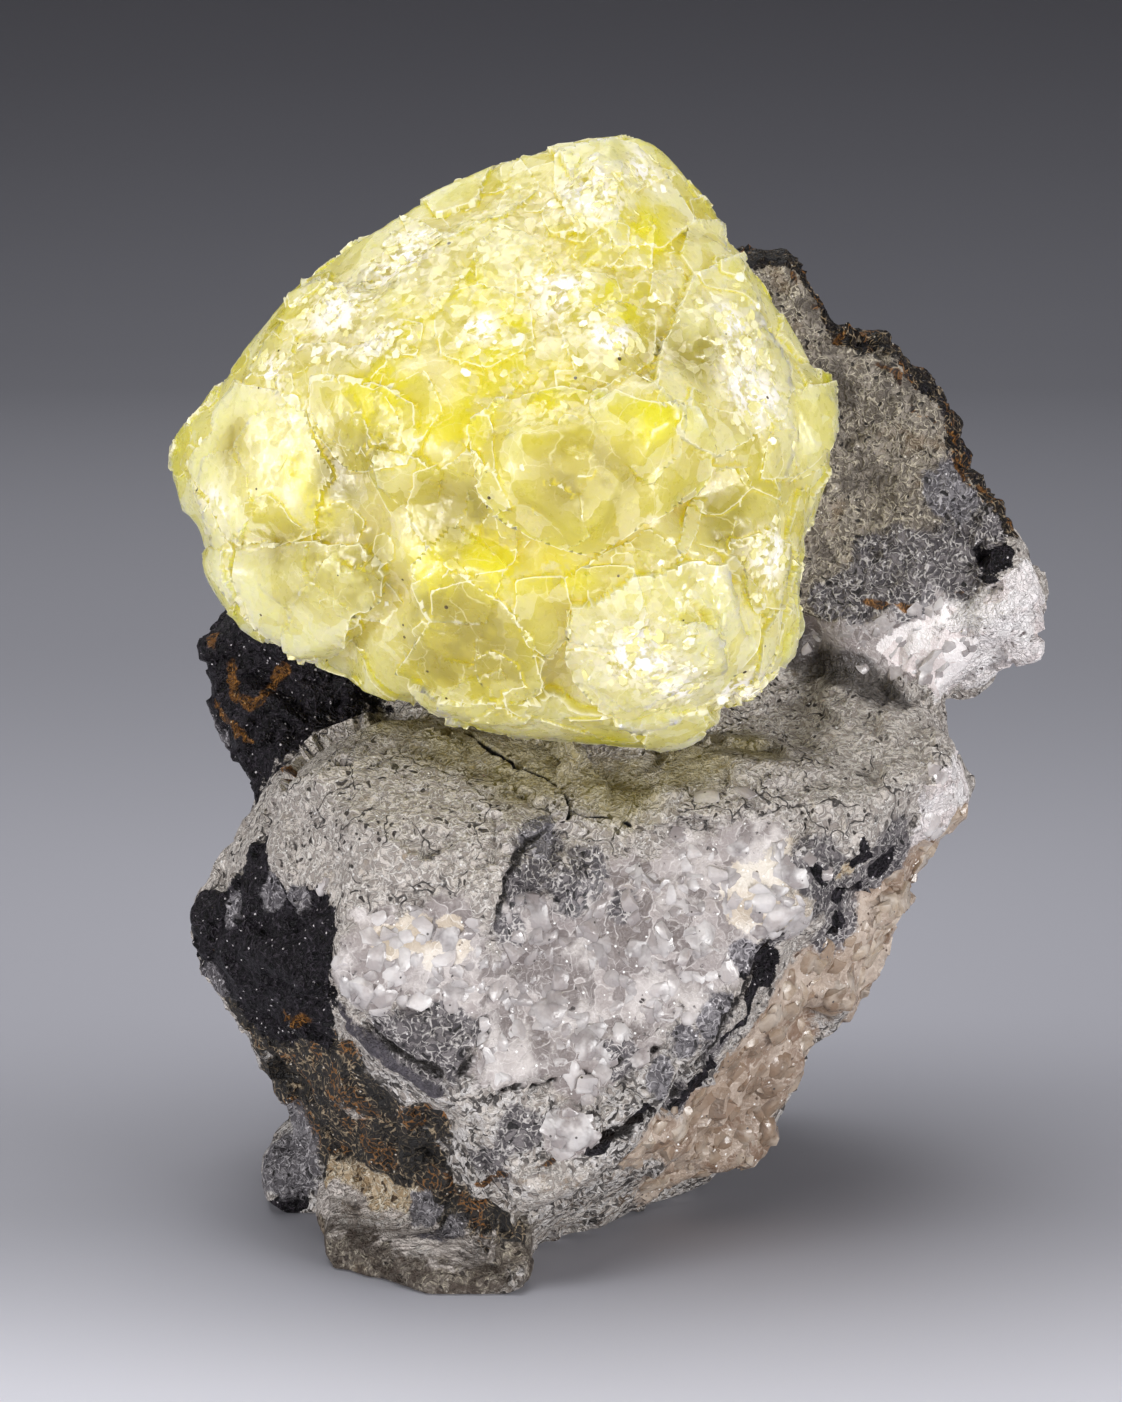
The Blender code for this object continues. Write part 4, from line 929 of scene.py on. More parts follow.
# %% The brucite's colours
tint = layered(
    tree, "#cbbe4c",
    ("#eae2a2", (shade, 0.0, 1.0)),
    ("#f0e8b6", (scale_shade, 0.62, 0.66, 0.0, 0.45)),
    ("#cfc163", (scale_shade, 0.30, 0.26, 0.0, 0.40)),
    ("#a4963f", smoke, (clouds, 0.42, 0.50, 0.45, 0.9)),
    # Painted glow: deep yellow in the glow patches and at the foot of each rim, standing in for light from
    # inside.
    ("#e2d632", painted_glow, (veils, 0.42, 0.50, 0.25, 0.95)),
    ("#e0d038", (foot, 0.3, 0.9, 0.0, 0.5)),
    ("#f2eabe", (veiled, 0.62, 0.70, 0.0, 0.6)),
    ("#f4ecb8", (crusty_here, 0.3, 0.8), (chip_shade, 0.72, 0.76, 0.0, 0.4)),
    ("#f7f0c4", healed, 0.5),
    # The pale rims are bruised and carry a painted highlight, and the frost is frosted crust with painted
    # highlights.
    ("#faf5d4", (rim, 0.62, 1.0, 0.0, 0.75)),
    ("#fff6dc", frosted_and_highlit, 0.9),
    ("#fffaf0", frosted_and_highlit, (frost_and_highlight, 0.6, 1.0)),
    ("#55461f", speck),
)
tree.links.new(tint, shader.inputs["Base Color"])
print("with the colours:", len(tree.nodes), "nodes")

# %% [markdown]
# Bruised rims, frost and healed cracks scatter light at their surface, so they have no subsurface light.
# The crusty faces get a stronger coat and their chips lean further, which makes them sparkle. The lean is
# added to the normal, so that each chip mirrors another part of the lights.

# %% The brucite's gloss and sparkle
bruised = add(tree, "Math", rim, frosted_and_highlit, operation="MAXIMUM")
bruised = add(tree, "Math", bruised, healed, operation="MAXIMUM")
tree.links.new(add(tree, "MapRange", bruised, 0.0, 1.0, 0.9, 0.0), shader.inputs["Subsurface Weight"])
tree.links.new(add(tree, "MapRange", fine, 0.3, 0.7, 0.2, 0.45), shader.inputs["Roughness"])
tree.links.new(add(tree, "MapRange", crusty_here, 0.0, 1.0, 0.15, 0.6), shader.inputs["Coat Weight"])
lean = add(tree, "MapRange", crusty_here, 0.0, 1.0, 0.05, 0.55)
tilt = add(tree, "VectorMath", add(tree, "VectorMath", chips, (-0.5,) * 3), operation="SCALE", Scale=lean)
broad_tilt = add(tree, "VectorMath", scales, (0.12,) * 3, (-0.06,) * 3, operation="MULTIPLY_ADD")
tilt = add(tree, "VectorMath", tilt, broad_tilt)
leaning = add(tree, "VectorMath", add(tree, "NewGeometry", output="Normal"), tilt)
leaning = add(tree, "VectorMath", leaning, operation="NORMALIZE")
bumped = add(tree, "Bump", Strength=0.3, Distance=0.2 * MM, Height=fine, Normal=leaning)
tree.links.new(bumped, shader.inputs["Normal"])
tree.links.new(bumped, shader.inputs["Coat Normal"])
print(brucite_look.name, "in all:", len(tree.nodes), "nodes")

# %% [markdown]
# ## Host rock: fine-grained, broken, with patches of other minerals
#
# One material covers the rock, and the fields choose between its minerals. The border of each patch is
# broken up by a fine noise, so that grains of one mineral stray into the next. Two textures make all the
# minerals. Felted ones are tangles of short fibres about 0.7 mm wide with pits and painted glints between
# them. Glassy ones are grown together from grains of about 2 mm, each a little lighter or darker than its
# neighbours, and painted glints lie on them too.

# %% The rock's textures
rock_look, tree, shader = new_material("fractured serpentine rock with calcite", IOR=1.55)
here = add(tree, "TexCoord", output="Object")
fine = add(tree, "TexNoise", here, Scale=per_mm(0.45), Detail=3.0, Roughness=0.6)
coarse = add(tree, "TexNoise", here, Scale=per_mm(4.0), Detail=4.0, Roughness=0.6)
straying = add(tree, "TexNoise", here, Scale=per_mm(1.1), Detail=4.0, Roughness=0.7)
straying = add(tree, "Math", straying, 0.9, -0.45, operation="MULTIPLY_ADD")
swirl = add(tree, "TexNoise", here, Scale=per_mm(1.2), Detail=1.0, output="Color")
warped = add(tree, "VectorMath", swirl, (1.8 * MM,) * 3, here, operation="MULTIPLY_ADD")
tangle = add(tree, "TexNoise", warped, Scale=per_mm(0.6), Detail=2.0, Distortion=0.8)
felt = where(tree, (tangle, 0.44, 0.56))
fibre_edge = add(tree, "TexVoronoi", warped, Scale=per_mm(0.75), feature="DISTANCE_TO_EDGE")
fibres = where(tree, (fibre_edge, 0.12, 0.04), (fine, 0.40, 0.52))
pits = where(tree, (add(tree, "TexVoronoi", warped, Scale=per_mm(0.95)), 0.27, 0.19), (coarse, 0.4, 0.52))
# Painted glints: tiny pale dots that stand in for sparkles of light.
painted_glints = where(tree, (add(tree, "TexVoronoi", here, Scale=per_mm(0.8)), 0.15, 0.10))
grown_shade = add(tree, "SeparateColor", add(tree, "TexVoronoi", warped, Scale=per_mm(2.2), output="Color"))
grown_edge = add(tree, "TexVoronoi", warped, Scale=per_mm(2.2), feature="DISTANCE_TO_EDGE")
small_grown_edge = add(tree, "TexVoronoi", warped, Scale=per_mm(1.2), feature="DISTANCE_TO_EDGE")
crackle = add(tree, "TexVoronoi", warped, Scale=per_mm(5.0), feature="DISTANCE_TO_EDGE")
salt = add(tree, "SeparateColor", add(tree, "TexVoronoi", warped, Scale=per_mm(0.42), output="Color"))
slab = add(tree, "Mapping", here, Rotation=(0, math.radians(8), math.radians(42)), Scale=(0.08, 1, 1))
streaks = add(tree, "TexNoise", slab, Scale=per_mm(0.3), Detail=3.0)


def felted(ground, lighter, fibre, pit, glint):
    """A tangle of fibres in these colours."""
    return layered(
        # The glint colour is a painted glint of light.
        tree, ground, (lighter, felt), (fibre, fibres), (pit, pits), (glint, painted_glints, (fine, 0.4, 0.5)))


def glassy(ground, lighter, cloudy, border, pit):
    """Grains that are grown together, in these colours."""
    return layered(
        tree, ground, (lighter, (grown_shade, 0.1, 0.9)), (cloudy, (coarse, 0.46, 0.66)),
        (border, (grown_edge, 0.05, 0.0), (straying, -0.1, 0.1, 0.0, 0.7)),
        (border, (small_grown_edge, 0.05, 0.0), (straying, 0.1, -0.1, 0.0, 0.5)),
        # The near-white dots are painted glints.
        (pit, pits, (straying, 0.02, 0.10)), ("#fffdfa", painted_glints, (fine, 0.45, 0.5)))


def patch(name, low=-0.04, high=0.06):
    """A step that follows a field, with grains straying over its border."""
    inside = add(tree, "Attribute", attribute_name=name, output="Fac")
    return where(tree, (add(tree, "Math", inside, straying), low, high))


print("the rock's textures:", len(tree.nodes), "nodes")

# %% [markdown]
# Each mineral is one of the two textures in its own colours. The grey rock is the ground of it all: felted,
# with darker clouds, brownish grains and a net of dark cracks, and salted black and white near the bottom.

# %% The rock's minerals
above_floor = add(tree, "SeparateXYZ", here, output="Z")
low_down = add(tree, "Math", coarse, 0.012, above_floor, operation="MULTIPLY_ADD")
speckled = where(tree, (low_down, 0.030, 0.022), (coarse, 0.34, 0.48))
grey = layered(
    tree, felted("#968d86", "#c8bfb7", "#ddd6cf", "#39322e", "#f8f5f2"),
    ("#6f6661", (coarse, 0.56, 0.74, 0.0, 0.6)),
    ("#a08a6c", (straying, 0.0, 0.15), (coarse, 0.44, 0.30, 0.0, 0.6)),
    ("#241e1c", (crackle, 0.022, 0.008), (coarse, 0.43, 0.52, 0.0, 0.9)),
    ("#d9d4d1", speckled, (salt, 0.58, 0.72, 0.0, 0.85)),
    ("#312c2b", speckled, (salt, 0.34, 0.24, 0.0, 0.85)),
    ("#7b6248", (low_down, 0.018, 0.010), (straying, 0.0, 0.16), 0.5),
)
browns = layered(
    tree, felted("#6a6156", "#9d9387", "#cabfab", "#29231f", "#efe6d9"),
    ("#8f7450", (coarse, 0.55, 0.7, 0.0, 0.4)),
    ("#453c36", (coarse, 0.50, 0.38, 0.0, 0.7)),
    # Painted shade: brown skins darker low on the foot.
    ("#3a2c22", (low_down, 0.013, 0.008), (straying, -0.15, 0.1, 0.1, 0.95)),
)
rusts = layered(
    tree, felted("#15110f", "#2d241d", "#a8957a", "#0a0807", "#e0d6c8"),
    ("#8a5a26", fibres, (coarse, 0.47, 0.41)),
    ("#120e0d", (coarse, 0.48, 0.56, 0.0, 0.8)),
    ("#6e4519", (straying, 0.12, 0.2), (coarse, 0.54, 0.42)),
)
blacks = felted("#0c0a0d", "#1b171c", "#373238", "#040304", "#d6cfd1")
slates = felted("#524e52", "#7d797c", "#b0abae", "#201d1f", "#e8e4e6")
laces = felted("#433e41", "#736d6e", "#c2bcb9", "#181415", "#f6f2f0")
streaked = layered(
    tree, "#a0968f",
    ("#ddd3cc", (streaks, 0.42, 0.58)),
    ("#4b423d", (streaks, 0.38, 0.30)),
    # Painted glints.
    ("#e9e3de", painted_glints, (fine, 0.45, 0.5)),
)
golds = felted("#a68e6d", "#cbb79a", "#e6dac4", "#54402b", "#f6ecdc")
ochres = felted("#2c1c12", "#62401f", "#936530", "#140d09", "#e2c9a2")
whites = glassy("#796f6c", "#aaa09d", "#cac2be", "#dfd8d5", "#3b3432")
creams = glassy("#c0b19e", "#d9ccbc", "#e6ddd1", "#f3ece3", "#6e5f4e")
pinks = layered(
    tree, glassy("#e8dcd9", "#f9f2f0", "#fffaf8", "#fffdfb", "#4d4547"),
    ("#8d7f7c", pits, (straying, -0.1, 0.0, 0.0, 0.6)),
)
beiges = glassy("#866d5a", "#ad9988", "#c6b5a6", "#ddcec0", "#553f2f")
print("with the minerals:", len(tree.nodes), "nodes")

# %% [markdown]
# The minerals are laid over the grey rock where their fields are, undermost first. The splits come last,
# because they cut through everything. Calcite and serpentine are glossier than the rest, and the felt's
# fibres and pits also shape a bump, because they are too fine for the mesh.

# %% The rock's surface
dark = patch("black", -0.03, 0.04)
body = layered(
    tree, grey,
    (browns, patch("brown", -0.3, 0.3)),
    (whites, patch("white", -0.12, 0.12)),
    (creams, patch("cream")),
    (pinks, patch("pink")),
    (beiges, patch("beige", -0.12, 0.12)),
    (laces, patch("lace", -0.1, 0.2)),
    (rusts, patch("rust", -0.1, 0.1)),
    (streaked, patch("streaked", -0.1, 0.1), (low_down, 0.0078, 0.0092)),
    (golds, patch("gold", 0.0, 0.3)),
    ("#4d484f", patch("ridge", 0.1, 0.4), (fine, 0.3, 0.5, 0.5, 1.0)),
    (blacks, dark),
    (rusts, patch("rind"), (straying, -0.10, 0.0)),
    (slates, patch("slate", -0.1, 0.15)),
    (ochres, patch("ochre", 0.0, 0.3)),
    # The yellow stain, partly painted shadow of the brucite.
    ("#988a34", patch("stain_and_shadow", -0.1, 0.7), 0.55),
    # Painted shade in the hollow under the wing.
    ("#2b231f", patch("hollow_shade", -0.3, 0.5), 0.85),
    # The fissures' dark is partly the split's own colour and partly painted shade.
    ("#1c1512", patch("fissure", 0.1, 0.5), (fine, 0.36, 0.46, 0.3, 1.0)),
    ("#100c0a", (add(tree, "Attribute", attribute_name="crack", output="Fac"), 0.2, 0.5)),
)
tree.links.new(body, shader.inputs["Base Color"])
clear = where(tree, add(tree, "Math", patch("white"), patch("beige"), operation="MAXIMUM"))
polished = add(tree, "Math", clear, where(tree, dark, 0.8), operation="MAXIMUM")
tree.links.new(add(tree, "MapRange", polished, 0.0, 1.0, 0.68, 0.34), shader.inputs["Roughness"])
tree.links.new(add(tree, "MapRange", dark, 0.0, 1.0, 0.5, 0.2), shader.inputs["Specular IOR Level"])
height = add(tree, "Math", felt, 0.35, fine, operation="MULTIPLY_ADD")
height = add(tree, "Math", fibres, 0.35, height, operation="MULTIPLY_ADD")
height = add(tree, "Math", pits, -0.7, height, operation="MULTIPLY_ADD")
strength = add(tree, "MapRange", clear, 0.0, 1.0, 0.9, 0.35)
bumped = add(tree, "Bump", Strength=strength, Distance=0.45 * MM, Height=height)
tree.links.new(bumped, shader.inputs["Normal"])
print(rock_look.name, "in all:", len(tree.nodes), "nodes")

# %% [markdown]
# ## Calcite: glassy grains that stand out of the rock
#
# A grain is the convex hull of a few points on a squashed ball, which gives it flat facets with sharp
# edges, as calcite's cleavage does. The white grains on the front lie flatter and the beige ones on the
# flank are thicker. The big ones are listed one by one and the small ones are strewn over the calcite's own
# patches.

# %% The large grains
WHITE_GRAINS = [  # x, y, z, radius
    (-24.2, -17.8, 32.8, 1.1), (-18.9, -22.1, 31.6, 1.2), (-16.1, -21.9, 31.8, 1.3),
    (-13.9, -22.7, 29.8, 1.8), (-17.2, -22.5, 30.2, 1.2), (-20.1, -23.1, 29.8, 1.5),
    (-16.2, -23.1, 28.0, 1.2), (-19.2, -23.7, 28.5, 1.5), (-21.0, -23.3, 25.4, 1.9),
    (-19.3, -23.4, 24.1, 1.1), (-17.2, -23.1, 24.9, 1.6), (-17.8, -23.8, 26.8, 1.5),
    (-13.1, -22.4, 24.8, 2.0), (-12.0, -22.3, 27.3, 1.4), (-9.4, -21.2, 27.8, 2.2),
    (-10.5, -22.3, 20.5, 1.5), (-7.8, -21.5, 21.2, 2.0), (-5.6, -20.7, 23.0, 2.1), (-6.5, -19.7, 31.3, 2.2),
    (-15.1, -22.6, 26.0, 1.3), (-4.0, -22.7, 13.7, 2.1), (-2.8, -20.7, 20.3, 1.8), (-7.8, -20.7, 23.7, 1.8),
    (5.7, -18.5, 22.5, 1.9), (0.2, -18.6, 24.8, 2.2), (2.6, -18.5, 26.9, 2.0), (-1.4, -18.4, 27.7, 2.1),
    (6.7, -17.0, 28.2, 2.3), (1.8, -18.6, 22.7, 1.7), (3.9, -18.2, 24.7, 1.7), (-4.7, -19.6, 25.5, 1.8),
    (8.8, -15.9, 30.8, 1.8), (5.1, -16.5, 31.0, 2.2), (1.8, -17.4, 31.6, 2.0), (6.5, -15.2, 35.4, 1.3),
    (9.7, -14.9, 35.4, 1.4), (13.8, -16.0, 29.5, 2.2), (14.2, -15.5, 33.3, 2.0), (12.0, -15.5, 28.4, 1.5),
    (12.4, -16.3, 31.3, 1.9), (10.2, -12.8, 39.3, 1.6), (7.2, -13.4, 39.0, 1.6), (27.4, -7.2, 39.7, 1.4),
    (28.0, -5.5, 37.2, 1.6), (26.7, -6.7, 34.8, 1.6), (27.7, -4.0, 36.4, 1.3), (27.5, -6.0, 33.6, 1.2),
]
BEIGE_GRAINS = [
    (25.5, -1.7, 31.0, 1.8), (23.6, -5.0, 28.3, 1.9), (22.5, -3.2, 25.2, 2.0), (21.0, -2.4, 21.4, 1.9),
    (19.8, -6.4, 20.9, 2.0), (18.2, -5.5, 18.8, 1.8), (15.8, -4.6, 15.9, 1.8), (14.0, -7.0, 14.0, 1.8),
    (13.3, -4.8, 10.6, 2.2), (11.6, -6.0, 9.6, 2.0), (11.1, -6.0, 7.9, 1.8), (8.1, -11.4, 10.3, 1.3),
    (15.2, -10.4, 22.9, 1.9), (16.4, -9.4, 24.1, 1.7), (22.3, -5.3, 26.3, 1.6), (23.4, -5.1, 28.0, 1.6),
    (20.2, -5.3, 21.7, 1.7), (18.7, -7.2, 19.9, 1.6), (16.6, -4.1, 15.8, 1.4), (14.0, -6.9, 13.7, 1.3),
    (13.2, -6.1, 11.9, 1.5), (25.5, -0.8, 28.8, 1.4), (12.1, -10.3, 16.7, 1.6), (10.4, -10.7, 14.7, 1.7),
    (6.9, -13.9, 13.5, 1.5), (5.2, -15.9, 11.6, 1.2), (1.9, -16.3, 8.2, 1.2), (12.8, -12.0, 19.9, 1.5),
    (15.4, -9.6, 20.0, 1.7), (17.9, -8.6, 24.1, 1.5), (20.7, -5.3, 24.0, 1.6),
]
print("large grains:", len(WHITE_GRAINS), "white and", len(BEIGE_GRAINS), "beige")

# %% [markdown]
# A grain stands on the rock along the average normal of the skin around it, turned at random. All the
# grains of one colour go into one mesh, because hundreds of objects would be slow to handle, and each keeps
# a shade of its own in a vertex attribute.

# %% Grow the grains
GRAIN_SINK = 0.7  # how deep a grain's middle lies in the rock, as a share of half its thickness
LARGE_CORNERS = 24
SMALL_CORNERS = 16
SMALL_LEAN = 0.2
NARROWEST = 0.7  # the least width of a grain, as a share of its length
GRAIN_LEVEL = 2.5  # no grain is strewn lower than this, so that none sinks through the floor


def normal_at(tree, normals, point, reach=1.6):
    """The surface's average normal near a point."""
    near = [index for _, index, _ in tree.find_range(point, reach)]
    return Vector(normals[near].mean(axis=0)).normalized()


def grain_mesh(radius, thickness, corners, source):
    """One grain that lies flat at the origin: the hull of some points on a squashed ball."""
    bm = bmesh.new()
    for _ in range(corners):
        bm.verts.new(Vector([source.gauss(0, 1) for _ in range(3)]).normalized())
    hull = bmesh.ops.convex_hull(bm, input=bm.verts)
    bmesh.ops.delete(bm, geom=hull["geom_interior"], context="VERTS")
    width = radius * source.uniform(NARROWEST, 1.0)
    bmesh.ops.scale(bm, vec=(radius, width, radius * thickness), verts=bm.verts)
    bmesh.ops.recalc_face_normals(bm, faces=bm.faces)
    return bm


def add_part(whole, part, point, normal, source):
    """Adds a small mesh to a whole one, standing on this point, turned at random and with its own shade."""
    upright = normal.to_track_quat("Z", "Y").to_matrix().to_4x4()
    turn = upright @ Matrix.Rotation(source.uniform(0, math.tau), 4, "Z")
    placed = Matrix.Scale(MM, 4) @ Matrix.Translation(point) @ turn
    bmesh.ops.transform(part, verts=part.verts, matrix=placed)
    layer = part.verts.layers.float.new("shade")
    shade = source.random()
    for vertex in part.verts:
        vertex[layer] = shade
    scratch = bpy.data.meshes.new("part")
    part.to_mesh(scratch)
    part.free()
    whole.from_mesh(scratch)
    bpy.data.meshes.remove(scratch)


def crusted(name, grains, choices, number, radii, thickness, seed):
    """One mesh of grains: the listed ones, and some small ones on the chosen vertices of the rock."""
    source = random.Random(seed)
    whole = bmesh.new()
    whole.verts.layers.float.new("shade")
    for x, y, z, radius in grains:
        point, _, _ = rock_tree.find((x, y, z))
        normal = normal_at(rock_tree, rock_normals, point)
        part = grain_mesh(radius, thickness, LARGE_CORNERS, source)
        add_part(whole, part, point - normal * radius * thickness * GRAIN_SINK, normal, source)
    for index in source.sample(choices.tolist(), number):
        radius = source.uniform(*radii)
        point = Vector(rock_places[index])
        normal = normal_at(rock_tree, rock_normals, point)
        normal += Vector([source.gauss(0, SMALL_LEAN) for _ in range(3)])
        normal.normalize()
        part = grain_mesh(radius, thickness, SMALL_CORNERS, source)
        add_part(whole, part, point - normal * radius * thickness * GRAIN_SINK, normal, source)
    mesh = bpy.data.meshes.new(name)
    whole.to_mesh(mesh)
    whole.free()
    return mesh


rock_tree = tree_of(rock_places)
rock_normals = read(rock_mesh, "normal")
may_grow = (black < 0) & (rock_places[:, 2] > GRAIN_LEVEL)
on_white = np.flatnonzero((whitish > 0.1) & may_grow)
on_beige = np.flatnonzero((patches["beige"] > 0.05) & may_grow)
white_mesh = crusted("calcite_white", WHITE_GRAINS, on_white, 420, (0.6, 1.7), thickness=0.45, seed=21)
beige_mesh = crusted("calcite_beige", BEIGE_GRAINS, on_beige, 330, (0.6, 1.9), thickness=0.6, seed=22)
print("calcite:", len(white_mesh.polygons), "and", len(beige_mesh.polygons), "triangles")

# %% [markdown]
# Calcite's IOR is about 1.6, which gives its broken faces a clear glassy glint, and it lets a little light
# through. Each grain has a shade between a dark and a light one, with clouds in it. Where the calcite is
# clearest the rock shows through, so it turns to the dark shade around that place.

# %% The calcite's materials
def calcite(name, dark, light, cloudy, clearest):
    """Glassy, slightly cloudy calcite between two shades, dark around the place where it is clearest."""
    look, tree, shader = new_material(
        name, IOR=1.6, Subsurface_Weight=0.3, Subsurface_Scale=0.0016, Subsurface_Radius=(1.0, 0.9, 0.8),
        Coat_Weight=0.25, Coat_Roughness=0.08)
    here = add(tree, "TexCoord", output="Object")
    clouds = add(tree, "TexNoise", here, Scale=per_mm(1.6), Detail=3.0)
    fine = add(tree, "TexNoise", here, Scale=per_mm(0.5), Detail=3.0)
    shade = add(tree, "Attribute", attribute_name="shade", output="Fac")
    specks = add(tree, "TexVoronoi", here, Scale=per_mm(1.3))
    clearest = [MM * value for value in clearest]
    from_clearest = add(tree, "VectorMath", here, clearest, operation="DISTANCE", output="Value")
    tint = layered(
        tree, dark,
        (light, shade),
        (cloudy, (clouds, 0.45, 0.65, 0.0, 0.7)),
        (dark, (from_clearest, 0.010, 0.004, 0.0, 0.75)),
        ("#4a4340", (specks, 0.10, 0.07)),
    )
    tree.links.new(tint, shader.inputs["Base Color"])
    tree.links.new(add(tree, "MapRange", clouds, 0.35, 0.65, 0.18, 0.42), shader.inputs["Roughness"])
    tree.links.new(add(tree, "Bump", Strength=0.4, Distance=0.2 * MM, Height=fine), shader.inputs["Normal"])
    print(name, len(tree.nodes), "nodes")
    return look


white_look = calcite("white translucent calcite", "#938a88", "#c9c1be", "#dcd6d3", (-4.0, -19.0, 29.0))
beige_look = calcite("beige glassy calcite", "#8c7460", "#bca994", "#d6c7b7", (10.0, -9.0, 13.0))

# %% [markdown]
# ## Loose flakes that frost the brucite
#
# On the crusty faces of the botryoid tiny plates stand a little off the surface, each at its own angle, and
# these are what sparkles. They are low prisms with five to seven sides, hundreds of them in one mesh.

# %% Strew the flakes
FLAKES = 850
FLAKE_RADII = (0.25, 0.9)
FLAKE_THICKNESS = 0.10
FLAKE_LEAN = 0.13
FLAKE_TAPER = 0.85  # a flake's upper face, as a share of its lower one
FLAKE_SINK = 0.35  # how deep its middle lies in the brucite, as a share of its thickness
# How readily flakes settle anywhere, and on the crust, where frosted faces count as 1.
ANYWHERE = 0.01
ON_CRUST = 0.04

source = random.Random(31)
flakes = bmesh.new()
flakes.verts.layers.float.new("shade")
brucite_places = read(brucite_mesh, "co")
strewn = ANYWHERE + smooth(in_spots(wandering_brucite, FROST_AND_HIGHLIGHT_SPOTS), -0.05, 0.6) + ON_CRUST * crusty
strewn *= 1 - smooth(in_spots(wandering_brucite, SMOOTH_SPOTS), 0, 0.4)
for index in source.choices(range(len(brucite_places)), weights=strewn.tolist(), k=FLAKES):
    normal = Vector(brucite_normals[index]) + Vector([source.gauss(0, FLAKE_LEAN) for _ in range(3)])
    radius = source.uniform(*FLAKE_RADII) * source.uniform(0.5, 1)
    flake = bmesh.new()
    bmesh.ops.create_cone(flake, cap_ends=True, segments=source.choice(SIDES), radius1=radius,
                          radius2=FLAKE_TAPER * radius, depth=FLAKE_THICKNESS)
    shift = Vector((source.uniform(-0.5, 0.5), source.uniform(-0.5, 0.5), 0)) * radius
    for vertex in flake.verts:
        vertex.co -= shift * max(0, vertex.co.dot(shift) / radius / radius)
    bmesh.ops.scale(flake, vec=(source.uniform(0.5, 1), 1, 1), verts=flake.verts)
    point = Vector(brucite_places[index]) - FLAKE_SINK * FLAKE_THICKNESS * normal.normalized()
    add_part(flakes, flake, point, normal, source)
flake_mesh = bpy.data.meshes.new("brucite_flakes")
flakes.to_mesh(flake_mesh)
flakes.free()
print("flakes:", sum(len(f.vertices) - 2 for f in flake_mesh.polygons), "triangles")

# %% [markdown]
# The flakes are brucite too, but so thin and bruised that they look frosted: nearly white, with a pearly
# coat and no light from inside.

# %% The flakes' material
flake_look, tree, shader = new_material(
    "frosted brucite flakes", IOR=1.57, Coat_Weight=0.5, Coat_Roughness=0.08)
here = add(tree, "TexCoord", output="Object")
veils = add(tree, "TexNoise", here, Scale=per_mm(2.6), Detail=4.0, Roughness=0.62)
fine = add(tree, "TexNoise", here, Scale=per_mm(0.6), Detail=3.0)
shade = add(tree, "Attribute", attribute_name="shade", output="Fac")
tint = layered(tree, "#efe69c", ("#fbf5cc", (shade, 0.2, 1.0)), ("#fffbe8", (veils, 0.50, 0.62, 0.0, 0.9)))
tree.links.new(tint, shader.inputs["Base Color"])
tree.links.new(add(tree, "MapRange", fine, 0.35, 0.65, 0.12, 0.35), shader.inputs["Roughness"])
print(flake_look.name, len(tree.nodes), "nodes")

# %% [markdown]
# ## Put the pieces in the scene
#
# The remesh can leave small closed bubbles inside a body, which nobody sees but which would stay in the
# mesh. Starting at the top, every vertex that can be reached along edges belongs to the outer skin, and the
# rest is deleted. Each finished mesh then becomes an object at the origin, rides on the specimen's one
# body, hides the solid that it replaces, where there is one, and takes the material given to it. Edges
# sharper than 38 degrees stay sharp.

# %% Hand over the pieces
SHARP_ANGLE = math.radians(38)


def keep_outer_skin(mesh):
    """Deletes what can't be reached from the topmost vertex along edges."""
    bm = bmesh.new()
    bm.from_mesh(mesh)
    top = max(bm.verts, key=lambda vertex: vertex.co.z)
    reached = {top}
    frontier = [top]
    while frontier:
        vertex = frontier.pop()
        for edge in vertex.link_edges:
            other = edge.other_vert(vertex)
            if other not in reached:
                reached.add(other)
                frontier.append(other)
    bubbles = [vertex for vertex in bm.verts if vertex not in reached]
    bmesh.ops.delete(bm, geom=bubbles, context="VERTS")
    bm.to_mesh(mesh)
    bm.free()
    print(mesh.name, "had", len(bubbles), "vertices in bubbles")


def piece(name, mesh, look, slot, *replaced):
    """A finished piece that rides on the specimen."""
    mesh.name = name
    mesh.materials.clear()
    mesh.materials.append(look)
    mesh.shade_smooth()
    mesh.set_sharp_from_angle(angle=SHARP_ANGLE)
    obj = bpy.data.objects.new(name, mesh)
    bpy.context.scene.collection.objects.link(obj)
    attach(obj, "root")
    if replaced:
        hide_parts(*replaced)
    print(name, "rides on root:", len(mesh.vertices), "vertices")


keep_outer_skin(brucite_mesh)
keep_outer_skin(rock_mesh)
piece("brucite_botryoid", brucite_mesh, brucite_look, "brucite", "brucite")
piece("brucite_flakes", flake_mesh, flake_look, "brucite")
piece("host_rock", rock_mesh, rock_look, "host_rock", "matrix")
piece("calcite_white", white_mesh, white_look, "host_rock")
piece("calcite_beige", beige_mesh, beige_look, "host_rock")

# %% [markdown]
# ## Floor, light and camera
#
# The specimen stands on a sheet of matt paper that is swept up behind it, so no horizon shows. Its side
# profile is drawn first: flat, a quarter of a circle, and upright. The profile is then extruded across. The
# paper is palest in front and darkens towards the back, which sets off the pale mineral, and a darker band
# round where the specimen stands is painted shadow.

# %% Build the sweep
# These lengths are metres.
SWEEP_WIDTH = 3.0
SWEEP_FRONT = -1.2
SWEEP_BEND = 0.55  # where the floor begins to rise
SWEEP_RADIUS = 0.5
SWEEP_TOP = 1.6
SWEEP_STEPS = 16

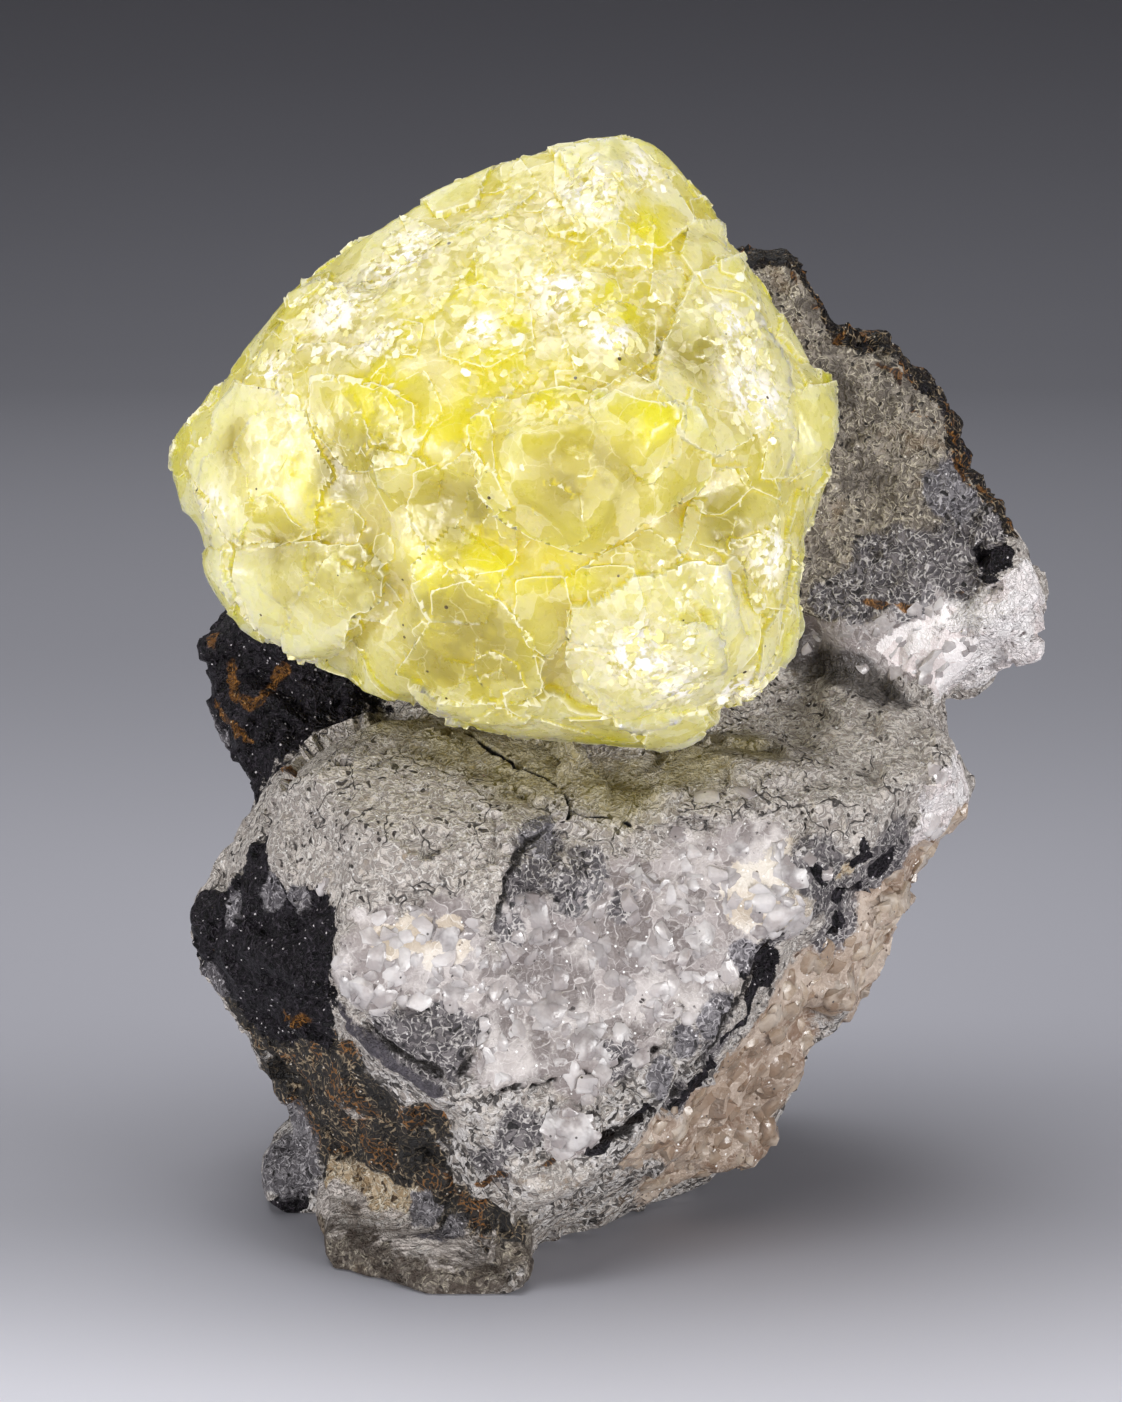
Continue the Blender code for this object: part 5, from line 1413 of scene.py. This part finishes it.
bm = bmesh.new()
side = [(SWEEP_FRONT, 0), (SWEEP_BEND, 0)]
for step in range(1, SWEEP_STEPS + 1):
    angle = math.pi / 2 * step / SWEEP_STEPS
    side.append((SWEEP_BEND + SWEEP_RADIUS * math.sin(angle), SWEEP_RADIUS * (1 - math.cos(angle))))
side.append((SWEEP_BEND + SWEEP_RADIUS, SWEEP_TOP))
profile = [bm.verts.new((-SWEEP_WIDTH / 2, y, z)) for y, z in side]
edges = [bm.edges.new(pair) for pair in zip(profile[:-1], profile[1:])]
swept = bmesh.ops.extrude_edge_only(bm, edges=edges)
far_side = [v for v in swept["geom"] if isinstance(v, bmesh.types.BMVert)]
bmesh.ops.translate(bm, vec=(SWEEP_WIDTH, 0, 0), verts=far_side)
bmesh.ops.recalc_face_normals(bm, faces=bm.faces)
sweep_mesh = bpy.data.meshes.new("sweep")
bm.to_mesh(sweep_mesh)
bm.free()
sweep_mesh.shade_smooth()
sweep_look, tree, shader = new_material("matt paper sweep", Roughness=0.9)
depth = add(tree, "SeparateXYZ", add(tree, "TexCoord", output="Object"), output="Y")
paper = layered(
    tree, "#e9e9f3",
    # Painted shadow: a darker band round where the specimen stands.
    ("#a3a3ab", (depth, -0.06, 0.0)),
    ("#b6b6bf", (depth, 0.01, 0.06)),
    ("#96969e", (depth, 0.02, 0.26)),
    ("#434247", (depth, 0.54, 0.98)),
)
tree.links.new(paper, shader.inputs["Base Color"])
sweep_mesh.materials.append(sweep_look)
sweep = bpy.data.objects.new("sweep", sweep_mesh)
bpy.context.scene.collection.objects.link(sweep)
print("sweep:", len(sweep_mesh.polygons), "faces")

# %% [markdown]
# A large softbox right above gives the broad highlights on the upper faces. Two long ones, low on the left
# and the right in front, light the flanks evenly, a narrow card in front lifts the shadow under the
# overhang, and a small one behind draws a thin light edge round the top. The world adds a dim grey, as a
# studio's walls do.

# %% Light it
HEART = (0.0, 0.0, 0.05)  # what the lights are aimed at, in metres
WORLD_STRENGTH = 0.25


def softbox(name, width, height, watts, position):
    """A rectangular area light, aimed at the heart of the specimen."""
    data = bpy.data.lights.new(name, "AREA")
    data.shape = "RECTANGLE"
    data.size = width
    data.size_y = height
    data.energy = watts
    lamp = bpy.data.objects.new(name, data)
    bpy.context.scene.collection.objects.link(lamp)
    lamp.location = position
    lamp.rotation_euler = (Vector(HEART) - lamp.location).to_track_quat("-Z", "Y").to_euler()
    print(name, watts, "W")


softbox("key softbox", 0.50, 0.45, 2.15, (-0.05, 0.0, 0.60))
softbox("left softbox", 0.40, 0.20, 3.4, (-0.60, -0.42, 0.11))
softbox("right softbox", 0.40, 0.20, 3.5, (0.60, -0.42, 0.11))
softbox("low front card", 0.90, 0.10, 1.05, (0.0, -0.62, 0.06))
softbox("rim softbox", 0.40, 0.20, 0.5, (-0.10, 0.40, 0.45))
world = bpy.data.worlds.new("dim studio")
world.use_nodes = True
world.node_tree.nodes["Background"].inputs["Color"].default_value = colour("#8c8c94")
world.node_tree.nodes["Background"].inputs["Strength"].default_value = WORLD_STRENGTH
bpy.context.scene.world = world

# %% [markdown]
# The camera looks slightly down on the specimen through a long lens, which keeps its lines almost parallel
# and its two minerals at their true sizes against each other.

# %% Aim the camera
CAMERA_ELEVATION = math.radians(12)
CAMERA_DISTANCE = 331
CAMERA_TARGET = Vector((-4.6, 0.3, 44.4))
CAMERA_LENS = 100

camera_data = bpy.data.cameras.new("camera")
camera_data.lens = CAMERA_LENS
camera = bpy.data.objects.new("camera", camera_data)
bpy.context.scene.collection.objects.link(camera)
back = Vector((0, -math.cos(CAMERA_ELEVATION), math.sin(CAMERA_ELEVATION)))
camera.location = (CAMERA_TARGET + CAMERA_DISTANCE * back) * MM
camera.rotation_euler = Euler((math.pi / 2 - CAMERA_ELEVATION, 0, 0))
bpy.context.scene.camera = camera
bpy.context.scene.view_settings.view_transform = "Standard"
print("camera at (m):", tuple(round(value, 3) for value in camera.location))
